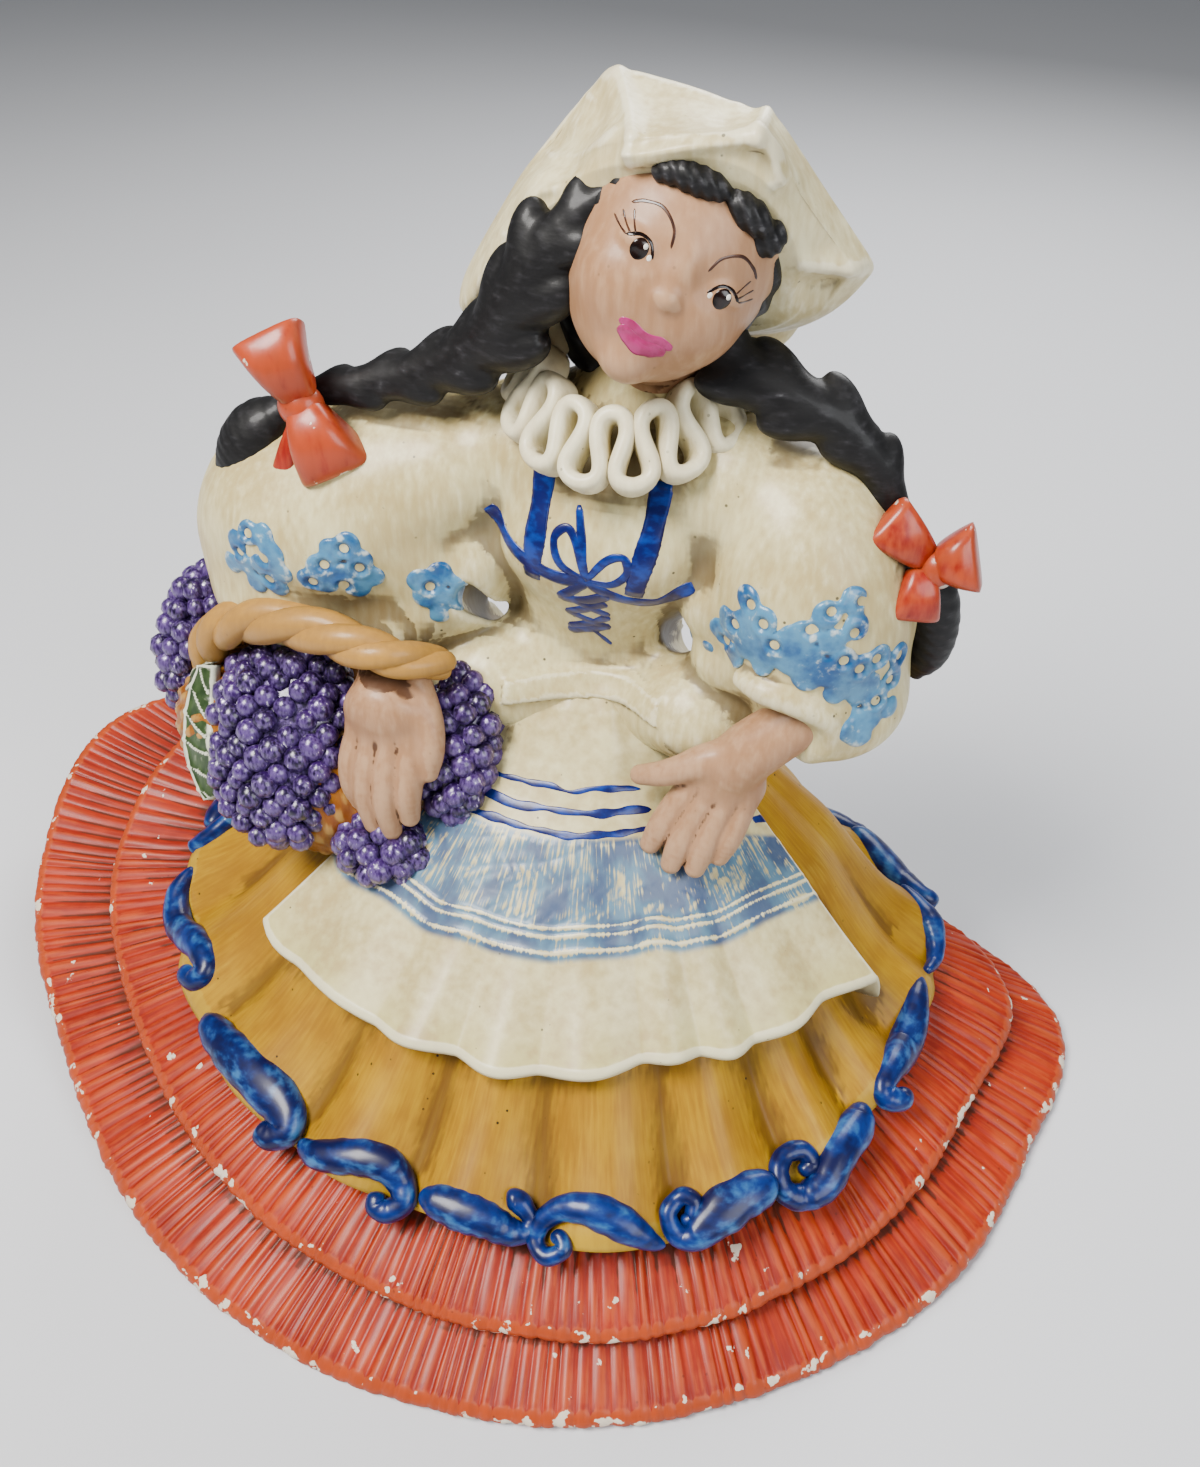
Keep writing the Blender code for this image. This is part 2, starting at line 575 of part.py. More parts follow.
def bow(name, knot, loops, size, collection):
    """A tied ribbon: a round knot with flared loops on either side."""
    made = [ball(name + "_knot", knot, (size * 0.5, size * 0.45, size * 0.5), collection, parts=(14, 10))]
    for k, tip in enumerate(loops):
        knot_v, tip_v = Vector(knot), Vector(tip)
        ahead = (tip_v - knot_v).normalized()
        up = Vector((0, -0.75, 0.66))
        side = ahead.cross(up).normalized()
        over = side.cross(ahead).normalized()
        vertices = []
        for share, wide, thick in ((0.0, 0.45, 0.40), (0.5, 0.75, 0.50), (1.05, 0.95, 0.42)):
            centre = knot_v + (tip_v - knot_v) * share
            for s, t in ((-1, -1), (1, -1), (1, 1), (-1, 1)):
                vertices.append(centre + side * (s * wide * size) + over * (t * thick * size))
        faces = [(0, 1, 2, 3), (8, 9, 10, 11)]
        for row in (0, 4):
            for i in range(4):
                j = (i + 1) % 4
                faces.append((row + i, row + j, row + 4 + j, row + 4 + i))
        made.append(soft_cage(f"{name}_loop_{k}", vertices, faces, collection, 2))
    return made


def bows(collection):
    ends = [(-57, -18, 182), (-48, -20, 159), (-58, -19, 155)]
    right = bow("bow_right", (-53, -18, 170), ends, 8, collection)
    ends = [(58, -10, 161), (74, -9, 155), (66, -12, 144)]
    left = bow("bow_left", (66, -10, 152), ends, 7, collection)
    return right + left


def arm_holes(collection):
    """Cutters for the two openings between the arms and the waist."""
    return [
        ball("hole_right", (-27, 8, 121), (5.8, 28, 5.4), collection),
        ball("hole_left", (24, 8, 120), (5.3, 28, 5.0), collection),
    ]


def fuse(name, pieces, collection):
    """All forms as one skin: joined, remade on a fine grid, largest shell kept, thinned."""
    graph = bpy.context.evaluated_depsgraph_get()
    work = bmesh.new()
    for piece in pieces:
        shape = bpy.data.meshes.new_from_object(piece.evaluated_get(graph))
        shape.transform(piece.matrix_world)
        work.from_mesh(shape)
    mesh = bpy.data.meshes.new(name)
    bmesh.ops.triangulate(work, faces=work.faces)
    work.to_mesh(mesh)
    work.free()
    made = bpy.data.objects.new(name, mesh)
    collection.objects.link(made)
    add_skin(made)
    return made


def add_skin(item):
    skin = item.modifiers.new("skin", "REMESH")
    skin.mode = "VOXEL"
    skin.voxel_size = SKIN_GRAIN


def apply_modifiers(item):
    shape = bpy.data.meshes.new_from_object(item.evaluated_get(bpy.context.evaluated_depsgraph_get()))
    item.modifiers.clear()
    item.data = shape


def keep_largest_shell(mesh):
    work = bmesh.new()
    work.from_mesh(mesh)
    work.verts.ensure_lookup_table()
    seen = np.zeros(len(work.verts), bool)
    shells = []
    for start in work.verts:
        if seen[start.index]:
            continue
        seen[start.index] = True
        shell, front = [], [start]
        while front:
            vertex = front.pop()
            shell.append(vertex)
            for edge in vertex.link_edges:
                other = edge.other_vert(vertex)
                if not seen[other.index]:
                    seen[other.index] = True
                    front.append(other)
        shells.append(shell)
    shells.sort(key=len)
    for shell in shells[:-1]:
        bmesh.ops.delete(work, geom=shell, context="VERTS")
    work.to_mesh(mesh)
    work.free()


def cut_flat(mesh):
    """Cuts the skin level with the table and closes the cut."""
    work = bmesh.new()
    work.from_mesh(mesh)
    everything = work.verts[:] + work.edges[:] + work.faces[:]
    bmesh.ops.bisect_plane(
        work, geom=everything, dist=1e-5, plane_co=(0, 0, 0), plane_no=(0, 0, 1), clear_inner=True
    )
    rim = [edge for edge in work.edges if edge.is_boundary]
    bmesh.ops.holes_fill(work, edges=rim, sides=0)
    bmesh.ops.triangulate(work, faces=work.faces)
    work.to_mesh(mesh)
    work.free()


def press_flat(mesh):
    """Sets the points that thinning left a hair off the table back on it."""
    places = np.empty(len(mesh.vertices) * 3)
    mesh.vertices.foreach_get("co", places)
    heights = places[2::3]
    heights[np.abs(heights) < SKIN_GRAIN / 5] = 0
    mesh.vertices.foreach_set("co", places)
    mesh.update()


def figurine():
    clear_scene()
    parts = new_collection("ceramic_girl_figurine")
    forms = new_collection("forms")
    paint = glazed_paint("painted_ceramic", (0.62, 0.56, 0.42), 0.35)
    pieces = skirt(forms) + scrolls(forms) + apron(forms) + body(forms) + sleeves(forms)
    pieces += hands(forms) + basket(forms) + head(forms) + hair(forms) + headcloth(forms)
    pieces += ruff(forms) + bows(forms)
    girl = fuse("girl_figurine", pieces, parts)
    apply_modifiers(girl)
    keep_largest_shell(girl.data)
    for cutter in arm_holes(forms):
        hole = girl.modifiers.new(cutter.name, "BOOLEAN")
        hole.operation = "DIFFERENCE"
        hole.object = cutter
        pieces.append(cutter)
    add_skin(girl)
    apply_modifiers(girl)
    cut_flat(girl.data)
    thin = girl.modifiers.new("thinned", "DECIMATE")
    thin.ratio = min(1, TRIANGLES / len(girl.data.polygons))
    apply_modifiers(girl)
    press_flat(girl.data)
    girl.data.shade_smooth()
    girl.data.set_sharp_from_angle(angle=math.radians(50))
    girl.data.materials.append(paint)
    for piece in pieces:
        piece.hide_render = True
        piece.display_type = "WIRE"


figurine()
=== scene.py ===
"""A painted, slip-cast ceramic figurine of a girl with a basket of grapes, dressed piece by piece over its
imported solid, with a pale floor, soft studio light and a camera. Shapes are worked out in millimetres."""

import math

import bpy
import numpy as np
from mathutils import Euler, Matrix, Vector


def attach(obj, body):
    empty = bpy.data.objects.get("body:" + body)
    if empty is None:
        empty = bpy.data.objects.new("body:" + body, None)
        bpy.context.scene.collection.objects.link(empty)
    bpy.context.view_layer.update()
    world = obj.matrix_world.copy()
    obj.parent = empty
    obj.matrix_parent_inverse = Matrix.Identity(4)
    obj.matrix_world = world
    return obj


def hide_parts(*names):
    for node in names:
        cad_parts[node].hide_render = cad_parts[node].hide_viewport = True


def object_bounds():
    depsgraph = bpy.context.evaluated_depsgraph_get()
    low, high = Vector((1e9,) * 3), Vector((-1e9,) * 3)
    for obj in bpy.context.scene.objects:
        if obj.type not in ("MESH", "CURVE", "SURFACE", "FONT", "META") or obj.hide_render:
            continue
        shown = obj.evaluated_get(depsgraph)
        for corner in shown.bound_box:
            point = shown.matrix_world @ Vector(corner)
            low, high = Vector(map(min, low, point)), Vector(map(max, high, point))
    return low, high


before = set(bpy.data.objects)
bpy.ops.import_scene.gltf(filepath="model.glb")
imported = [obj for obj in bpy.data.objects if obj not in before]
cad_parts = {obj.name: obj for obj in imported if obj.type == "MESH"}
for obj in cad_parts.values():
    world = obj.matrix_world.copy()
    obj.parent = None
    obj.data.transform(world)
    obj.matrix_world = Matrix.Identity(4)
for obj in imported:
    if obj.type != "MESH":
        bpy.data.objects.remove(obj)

CAD_BOX = [list(corner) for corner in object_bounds()]

# The two orange tiers of the skirt: cast ceramic, pleated with a tool in the clay, brushed with orange
# over a brown wash, and worn to pale clay along their thick scalloped hems. The lower one is what the
# figurine stands on, and all the other pieces sit on it; once it is made, the imported solid is hidden.
# Each hem's reach from the waist's axis is given in mm for every 20 degrees, from straight ahead round by
# her left.
MM = 0.001
LOWER_REACH = (119, 116.5, 115.5, 116, 115.8, 121.2, 98, 84.6, 76.6, 73.5, 76.6, 88, 118, 158.8, 156.4, 138,
               128.5, 122.5)
UPPER_REACH = (105.5, 105, 103, 101, 101, 105, 87, 74, 67, 65, 67, 76, 97, 124, 131, 119, 111, 107)
YELLOW_REACH = (92.5, 94, 91, 86.5, 83.5, 86, 76, 67, 60, 58, 60, 68, 80, 96, 105, 104, 99.5, 96)
SWIRL_AT, SWIRL_WIDE, SWIRL_RISE = -100, 26, 32  # where the hem swings up, how widely, and how high
PLEAT = 3.1  # mm from pleat to pleat along the hem, on the whole
PLEAT_DEEP = 0.85
PLEAT_POINTS = 8  # columns of points to a pleat


def through(before, start, end, after, share):
    """The point at a share of the way from start to end on the smooth cubic that passes all four."""
    bend = 2 * before - 5 * start + 4 * end - after
    twist = 3 * start - before - 3 * end + after
    return 0.5 * (2 * start + (end - before) * share + bend * share**2 + twist * share**3)


def along(values, degrees):
    """Smooth value in a direction, from values at equal steps round the circle."""
    values = np.asarray(values, float)
    place = np.asarray(degrees, float) / (360 / len(values))
    low = np.floor(place).astype(int)
    return through(*(values[(low + k) % len(values)] for k in (-1, 0, 1, 2)), place - low)


def turn_towards(degrees):
    """Unit direction on the ground: 0 is straight ahead (-Y) and 90 is her left (+X)."""
    angle = np.radians(degrees)
    return np.stack([np.sin(angle), -np.cos(angle)], axis=-1)


def swirl(degrees):
    """A bell curve round the circle: the height that the hem gains where it swings up."""
    off = (np.asarray(degrees, float) - SWIRL_AT + 180) % 360 - 180
    return SWIRL_RISE * np.exp(-((off / SWIRL_WIDE) ** 2))


def waves(across, seed, count=9):
    """A smooth wandering value between about -1 and 1: a few cosines of random length and start."""
    draw = np.random.default_rng(seed)
    total = 0
    for wave, start, strength in zip(draw.uniform(0.25, 2.2, count), draw.uniform(0, 6.3, count),
                                     draw.uniform(0.5, 1, count)):
        total = total + strength * np.cos(across * wave + start)
    return total / (count * 0.55)


def grid(points, ring=True, loop=False, ends=True, **marks):
    """A shape from points (rows, columns, 3) in mm: quads between neighbours, the last column joined to
    the first for a ring, the last row to the first for a loop, and a fan over each open end."""
    rows, columns = points.shape[:2]
    index = np.arange(rows * columns).reshape(rows, columns)
    places = points.reshape(-1, 3)
    marks = {key: np.broadcast_to(value, (rows, columns)).reshape(-1) for key, value in marks.items()}
    fans = []
    if ends and not loop:
        places = np.concatenate([places, [points[0].mean(axis=0), points[-1].mean(axis=0)]])
        marks = {key: np.concatenate([value, value[:1], value[-1:]]) for key, value in marks.items()}
        for row, centre, way in ((index[0], rows * columns, -1), (index[-1], rows * columns + 1, 1)):
            after = np.roll(row, -1)
            fans.append(np.stack([row, after, np.full(columns, centre)][::way], axis=-1))
    if ring:
        index = np.concatenate([index, index[:, :1]], axis=1)
    if loop:
        index = np.concatenate([index, index[:1]], axis=0)
    quads = np.stack([index[:-1, :-1], index[:-1, 1:], index[1:, 1:], index[1:, :-1]], axis=-1).reshape(-1, 4)
    return {"places": places, "quads": quads, "fans": np.concatenate(fans) if fans else np.zeros((0, 3), int),
            "marks": marks}


def turned_out(shape):
    """The same shape with its faces outwards: they are turned round where the volume comes out negative."""
    total = 0
    for kind in ("quads", "fans"):
        corners = shape["places"][shape[kind]]
        for k in range(1, shape[kind].shape[1] - 1):
            total += np.einsum("ij,ij->", corners[:, 0], np.cross(corners[:, k], corners[:, k + 1]))
    if total < 0:
        shape = {**shape, "quads": shape["quads"][:, ::-1], "fans": shape["fans"][:, ::-1]}
    return shape


PIECES = []


def piece(name, shapes, finish):
    """One named piece from several closed shapes, painted with a finish and riding on the figurine."""
    shapes = [turned_out(shape) for shape in shapes]
    starts = np.cumsum([0] + [len(shape["places"]) for shape in shapes])
    places = np.concatenate([shape["places"] for shape in shapes]) * MM
    quads = np.concatenate([shape["quads"] + start for shape, start in zip(shapes, starts)])
    fans = np.concatenate([shape["fans"] + start for shape, start in zip(shapes, starts)])
    mesh = bpy.data.meshes.new(name)
    mesh.vertices.add(len(places))
    mesh.vertices.foreach_set("co", places.astype(np.float32).ravel())
    corners = np.concatenate([quads.ravel(), fans.ravel()]).astype(np.int32)
    sizes = np.concatenate([np.full(len(quads), 4), np.full(len(fans), 3)])
    mesh.loops.add(len(corners))
    mesh.loops.foreach_set("vertex_index", corners)
    mesh.polygons.add(len(sizes))
    mesh.polygons.foreach_set("loop_start", (np.cumsum(sizes) - sizes).astype(np.int32))
    mesh.update(calc_edges=True)
    mesh.shade_smooth()
    for key in sorted({key for shape in shapes for key in shape["marks"]}):
        values = [shape["marks"].get(key, np.zeros(len(shape["places"]))) for shape in shapes]
        made = mesh.attributes.new(key, "FLOAT", "POINT")
        made.data.foreach_set("value", np.concatenate(values).astype(np.float32))
    made = bpy.data.objects.new(name, mesh)
    bpy.context.scene.collection.objects.link(made)
    mesh.materials.append(finish)
    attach(made, "root")
    PIECES.append(made)
    return made


class Mark:
    """One value of a finish. Sums and products of it add Math nodes, so 1 - mark works."""

    def __init__(self, paint, socket):
        self.paint, self.socket = paint, socket

    def math(self, operation, *values):
        return self.paint.node("Math", {"operation": operation}, dict(enumerate(values)))

    def __add__(self, other):
        return self.math("ADD", self, other)

    def __radd__(self, other):
        return self.math("ADD", other, self)

    def __sub__(self, other):
        return self.math("SUBTRACT", self, other)

    def __rsub__(self, other):
        return self.math("SUBTRACT", other, self)

    def __mul__(self, other):
        return self.math("MULTIPLY", self, other)

    def __rmul__(self, other):
        return self.math("MULTIPLY", other, self)

    def between(self, low, high):
        """0 below low, 1 above high, and a smooth climb between them."""
        return self.paint.node("MapRange", {"interpolation_type": "SMOOTHSTEP"},
                               {"Value": self, "From Min": low, "From Max": high})


class Paint:
    """One finish of the figurine, built node by node on a Principled shader."""

    def __init__(self, name, roughness=0.4, coat=0.2):
        self.material = bpy.data.materials.new(name)
        self.material.use_nodes = True
        self.tree = self.material.node_tree
        self.shader = self.tree.nodes["Principled BSDF"]
        self.shader.inputs["Roughness"].default_value = roughness
        self.shader.inputs["Coat Weight"].default_value = coat
        self.shader.inputs["Coat Roughness"].default_value = 0.2
        self.shader.inputs["Specular IOR Level"].default_value = 0.22
        self.where = self.node("TexCoord", {}, {}, "Object")

    def node(self, kind, settings, values, output=0):
        """Adds a node of a type, sets its settings and then its sockets, and gives one of its outputs."""
        made = self.tree.nodes.new("ShaderNode" + kind)
        for key, value in settings.items():
            setattr(made, key, value)
        for key, value in values.items():
            self.feed(made.inputs[key], value)
        return Mark(self, made.outputs[output])

    def feed(self, socket, value):
        if isinstance(value, Mark):
            self.tree.links.new(value.socket, socket)
        elif isinstance(value, tuple) and socket.type == "RGBA":
            socket.default_value = (*value, 1)
        else:
            socket.default_value = value

    def mark(self, name):
        return self.node("Attribute", {"attribute_name": name}, {}, "Fac")

    def marks(self, *names):
        return [self.mark(name) for name in names]

    def noise(self, scale, detail=3.0, stretch=None):
        """Cloudy noise from 0 to 1, with about scale clouds to the metre, drawn out where stretched."""
        where = self.node("Mapping", {}, {"Vector": self.where, "Scale": stretch}) if stretch else self.where
        return self.node("TexNoise", {}, {"Vector": where, "Scale": scale, "Detail": detail}, "Fac")

    def flat_noise(self, squeeze, scale, detail):
        """Noise on a skirt laid flat, by the marks of how far across and down a point lies: a squeeze under 1
        draws it out downwards."""
        across, down = self.marks("across", "down")
        flat = self.node("CombineXYZ", {}, {"X": across, "Y": down * squeeze})
        return self.node("TexNoise", {}, {"Vector": flat, "Scale": scale, "Detail": detail}, "Fac")

    def mix(self, share, first, second):
        return self.node("Mix", {"data_type": "RGBA"}, {0: share, 6: first, 7: second}, 2)

    def set(self, **links):
        for key, value in links.items():
            self.feed(self.shader.inputs[key.replace("_", " ").title()], value)

    def bump(self, deep, height, strength=0.5):
        """Brush marks and grit that stand up by a height from 0 to 1, deep mm in all."""
        sockets = {"Strength": strength, "Distance": deep * MM, "Height": height}
        self.set(normal=self.node("Bump", {}, sockets, "Normal"))

    def specked(self, tone, spread_of_dot, where, share, colour):
        """A tone with small dark dots in some of its clouds."""
        spot = self.node("TexVoronoi", {}, {"Vector": self.where, "Scale": 330}, "Distance")
        dot = (1 - spot.between(*spread_of_dot)) * self.noise(130, 2).between(*where) * share
        return self.mix(dot, tone, colour)


def shade(red, green, blue):
    """A paint that looks like this colour (0 to 255) once lit. The picture's tone curve lifts and greys
    colours, so the linear colour is deepened: its brightness by one power and its purity by another, and
    all of it by a gain that is lowest for the purest colours."""
    seen = (np.maximum((red, green, blue), 2) / 255) ** 2.2
    bright = float(seen @ (0.2126, 0.7152, 0.0722))
    gain = 0.47 + 0.43 * float(seen.min() / seen.max())
    deep = gain * bright**1.25 * (seen / bright) ** 1.3
    return tuple(float(value) for value in np.minimum(deep, 0.9))


WASH_AND_SHADE_BROWN = shade(92, 56, 26)
PALE_CLAY = shade(226, 214, 196)


def brushed(name, colour, deep, pale, streaks=None, wash=1.0, pale_ridges=0.35, chips=0.0, specks=0.6,
            roughness=0.42, coat=0.2, bump=0.12):
    """Hand paint on fired clay: the colour drifts towards deep in clouds and brush streaks, a brown wash with
    painted shade darkens hollows and seams, ridges are dragged with pale paint that is also a painted
    highlight, edges chip, and dark specks sit on top."""
    p = Paint(name, roughness, coat)
    hollow, seam_shade = p.marks("hollow", "seam_shade")
    cloud, mottle = p.noise(75), p.noise(420, 5)
    streak = p.noise(700, 4, stretch=(1, 1, 0.22)) if streaks is None else streaks(p)
    tone = p.mix((cloud * 0.7 + streak * 0.6).between(0.42, 0.92), deep, colour)
    # Pale on whatever bulges out: dry-brushed paint and a painted highlight.
    dragged = ((0 - hollow) * 1.5 + streak * 0.9 + mottle * 0.35 - 0.62).between(0.1, 0.62) * pale_ridges
    tone = p.mix(dragged, tone, pale)
    # Brown in hollows and where other surfaces crowd close: a settled wash and painted shade.
    wash_and_shade = (hollow * 1.5 + seam_shade * 1.7 + mottle * 0.3 + cloud * 0.2 - 0.32).between(0.05, 0.75) * wash
    tone = p.mix(wash_and_shade, tone, WASH_AND_SHADE_BROWN)
    if chips:
        edge = (0 - hollow).between(0.1, 0.9)
        chip = (p.noise(190, 6) + edge * 0.11).between(0.735 - chips * 0.06, 0.75 - chips * 0.06)
        tone = p.mix(chip, tone, PALE_CLAY)
    tone = p.specked(tone, (0.07, 0.12), (0.52, 0.6), specks, shade(30, 24, 18))
    p.set(base_color=tone, roughness=roughness + wash_and_shade * 0.22 + mottle * 0.12 - 0.06)
    p.bump(bump, streak * 0.7 + mottle * 0.5)
    return p.material


def hem_streaks(p):
    """Streaks that run up and down a skirt."""
    return p.flat_noise(0.13, 1.1, 4)


def tier(reach, hem, edge, slope, lift_share, seed, top=0.66):
    """A pleated tier as one closed ring. Columns follow the hem by its length, eight to a pleat of uneven
    width. Rows run from the hidden top down the slope, round the thick hem, and back underneath.
    Reach and height are the hem's, raised by the swirl; the pleats add rounded ridges that come and go."""
    fine = np.linspace(-180, 180, 2881)
    rim = along(reach, fine) + waves(np.radians(fine) * 5, seed)
    line = turn_towards(fine) * rim[:, None]
    length = np.concatenate([[0], np.cumsum(np.linalg.norm(np.diff(line, axis=0), axis=1))])
    draw = np.random.default_rng(seed + 5)
    pleats = int(length[-1] / PLEAT)
    seams = np.concatenate([[0], np.cumsum(draw.uniform(0.6, 1.45, pleats))])
    seams *= length[-1] / seams[-1]
    phase = np.arange(pleats * PLEAT_POINTS) / PLEAT_POINTS
    place = np.interp(phase, np.arange(pleats + 1), seams)
    degrees = np.interp(place, length, fine)
    rim = np.interp(degrees, fine, rim)
    lift = swirl(degrees) * lift_share
    strength = np.interp(phase, np.arange(pleats + 1) + 0.5, draw.uniform(0.35, 1.25, pleats + 1))
    broad = waves(np.radians(degrees) * 11, seed + 7)
    rows = []
    for down in np.concatenate([np.linspace(0, 0.955, 20), np.linspace(0.97, 1, 4)]):
        share = top + (0.99 - top) * down
        sway = 0.4 * waves(phase * 0.6, seed + 1) * (1 - down) + 0.1 * waves(phase * 0.9 + down * 3, seed + 2)
        ridge = np.abs(np.sin((phase + sway) * math.pi)) ** 0.75 * strength
        ridge = ridge * (0.8 + 0.4 * waves(phase * 0.8 + down * 5, seed + 3))
        distance = rim * share + 0.3 * ridge * down**3
        height = hem + edge + (rim * (1 - share)) * slope + lift * share**4 - 0.9 * down**8
        height = height + PLEAT_DEEP * ridge + 0.9 * broad * down
        rows.append((distance, height))
    ridge = np.abs(np.sin(phase * math.pi)) ** 0.75 * strength
    nibble = 0.4 * ridge + 0.3 * waves(place * 0.35, seed + 4)
    for share, fall in ((1.0, 0.7), (1.003, 0.42), (0.999, 0.14), (0.986, -0.02), (0.93, -0.3), (0.82, -0.4)):
        distance = rim * share + nibble * (share > 0.95)
        height = hem + lift * share**4 + edge * fall + 0.9 * broad * (fall > 0.1)
        rows.append((distance, height))
    rows.append((rim * (top + 0.04), hem + lift * top**4 - edge * 0.4))
    flat = turn_towards(degrees)
    points = np.stack([np.column_stack([flat * distance[:, None], np.maximum(height, 0.02)])
                       for distance, height in rows])
    down = np.linspace(0, 40, len(rows))[:, None]
    return grid(points, loop=True, ends=False, across=place[None, :], down=down)


ORANGE = brushed("orange_paint", shade(214, 82, 26), shade(170, 50, 14), shade(232, 130, 70),
                 streaks=hem_streaks, wash=0.8, pale_ridges=0.4, chips=0.6, specks=0.4, roughness=0.5, coat=0.1)
lower = piece("lower_tier", [tier(LOWER_REACH, 0, 4.6, 0.36, 1.0, 3)], ORANGE)
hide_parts("girl_figurine")
piece("upper_tier", [tier(UPPER_REACH, 12.5, 4.0, 0.42, 0.95, 21, 0.68)], ORANGE)

# The foot under the tiers: bare fired clay, closed and flat, where the cast was never painted.


def bare_clay():
    """Unpainted clay: a warm pale grey with fine grit and a few rubbed dark places."""
    p = Paint("bare_ceramic", 0.75, 0.0)
    grit = p.noise(900, 5)
    tone = p.mix(p.noise(60).between(0.35, 0.7), shade(214, 200, 180), shade(190, 172, 148))
    tone = p.mix(grit.between(0.58, 0.75) * 0.5, tone, shade(120, 98, 76))
    p.set(base_color=tone)
    p.bump(0.1, grit, 0.4)
    return p.material


def foot():
    """A flat closed plate: rings that shrink from under the lower hem to a centre, below and above."""
    degrees = np.arange(0, 360, 1.5)
    rim = along(LOWER_REACH, degrees)
    lifted = swirl(degrees) > 3
    rows = []
    profile = (0.02, 0.03), (0.5, 0.03), (0.86, 0.03), (0.9, 0.6), (0.9, 2.2), (0.5, 4), (0.02, 4)
    for share, height in profile:
        reach = rim * np.where(lifted, share * 0.86, share)
        rows.append(np.column_stack([turn_towards(degrees) * reach[:, None], np.full(len(degrees), height)]))
    return grid(np.stack(rows))


piece("foot", [foot()], bare_clay())

# The yellow overskirt: cast with broad soft folds that run out from the waist, painted ochre and yellow,
# darker in the folds. It carries the apron and the raised blue border.
CONE_SHARE = (0, 0.185, 0.29, 0.40, 0.51, 0.61, 0.72, 0.85, 1.0, 1.15, 1.3, 1.52)
CONE_RISE = (118, 112, 97, 87.5, 77.5, 69, 59, 47, 34, 22, 12, 2)
YELLOW_HEM, YELLOW_EDGE, YELLOW_LIFT = 28, 3.4, 0.45  # hem's height, its thickness, its share of the swirl
HEM_WAVE = 1.2
FOLD_AT = (-152, -128, -106, -86, -67, -49, -26, -9, 9, 28, 45, 60, 76, 94, 114, 136, 160, 184)


def folds(degrees):
    """Rounded ridges between the given directions: 1 on a ridge and -1 in the valleys at FOLD_AT."""
    at = np.asarray(FOLD_AT, float)
    place = np.interp((np.asarray(degrees, float) - at[0]) % 360 + at[0], np.append(at, at[0] + 360),
                      np.arange(len(at) + 1))
    return 2 * np.abs(np.sin(math.pi * place)) ** 1.3 - 1


def cone_height(reach, degrees):
    """Height of the skirt's cone at a distance from the waist's axis."""
    return np.interp(np.asarray(reach) / along(YELLOW_REACH, degrees), CONE_SHARE, CONE_RISE)


def smooth_cone(reach, degrees):
    """The cone's height averaged over a small span, so that its slope has no corners."""
    return sum(cone_height(np.maximum(reach + step, 0), degrees) for step in (-6, -3, 0, 3, 6)) / 5


def yellow_skirt():
    """The overskirt as one closed skin: rows from the waist down the cone, round its hem, and under it to
    the axis. The folds deepen towards the hem, and the last of the slope bells out a little."""
    degrees = np.linspace(-180, 180, 900, endpoint=False)
    rim = along(YELLOW_REACH, degrees) + HEM_WAVE * folds(degrees)
    lift = swirl(degrees) * YELLOW_LIFT
    rows = []
    over = np.linspace(0.16, 0.985, 52)
    share = np.concatenate([over, [1.0, 1.004, 0.998, 0.985], [0.9, 0.7, 0.5]])
    for k, s in enumerate(share):
        distance = rim * s
        if k < len(over):
            deep = 2.3 * np.clip(s * 1.3 - 0.3, 0, 1)
            sway = degrees + 1.6 * waves(np.radians(degrees) * 5 + s * 2.2, 31)
            own = YELLOW_HEM + YELLOW_EDGE + (rim - distance) * 0.75 + lift * s**4
            above = smooth_cone(distance, degrees) + lift * s**4
            mix = np.clip((0.9 - s) / 0.28, 0, 1)
            mix = mix * mix * (3 - 2 * mix)
            height = own * (1 - mix) + above * mix + deep * folds(sway)
            height = height + 0.35 * waves(degrees * 0.5 + s * 9, 33) * s
        else:
            fall = (0.75, 0.42, 0.12, 0.0, -0.4, -1.0, -1.2)[k - len(over)]
            height = YELLOW_HEM + lift * s**4 + YELLOW_EDGE * fall + 1.9 * folds(degrees) * (fall >= 0)
        rows.append(np.column_stack([turn_towards(degrees) * distance[:, None], height]))
    down = np.linspace(0, 90, len(share))[:, None]
    across = (degrees / 360 * 560)[None, :]
    return grid(np.stack(rows), across=across, down=down)


YELLOW = brushed("yellow_paint", shade(224, 180, 14), shade(192, 144, 14), shade(240, 216, 96),
                 streaks=hem_streaks, wash=0.6, pale_ridges=0.25, specks=1.0, roughness=0.52, coat=0.08)
piece("yellow_skirt", [yellow_skirt()], YELLOW)
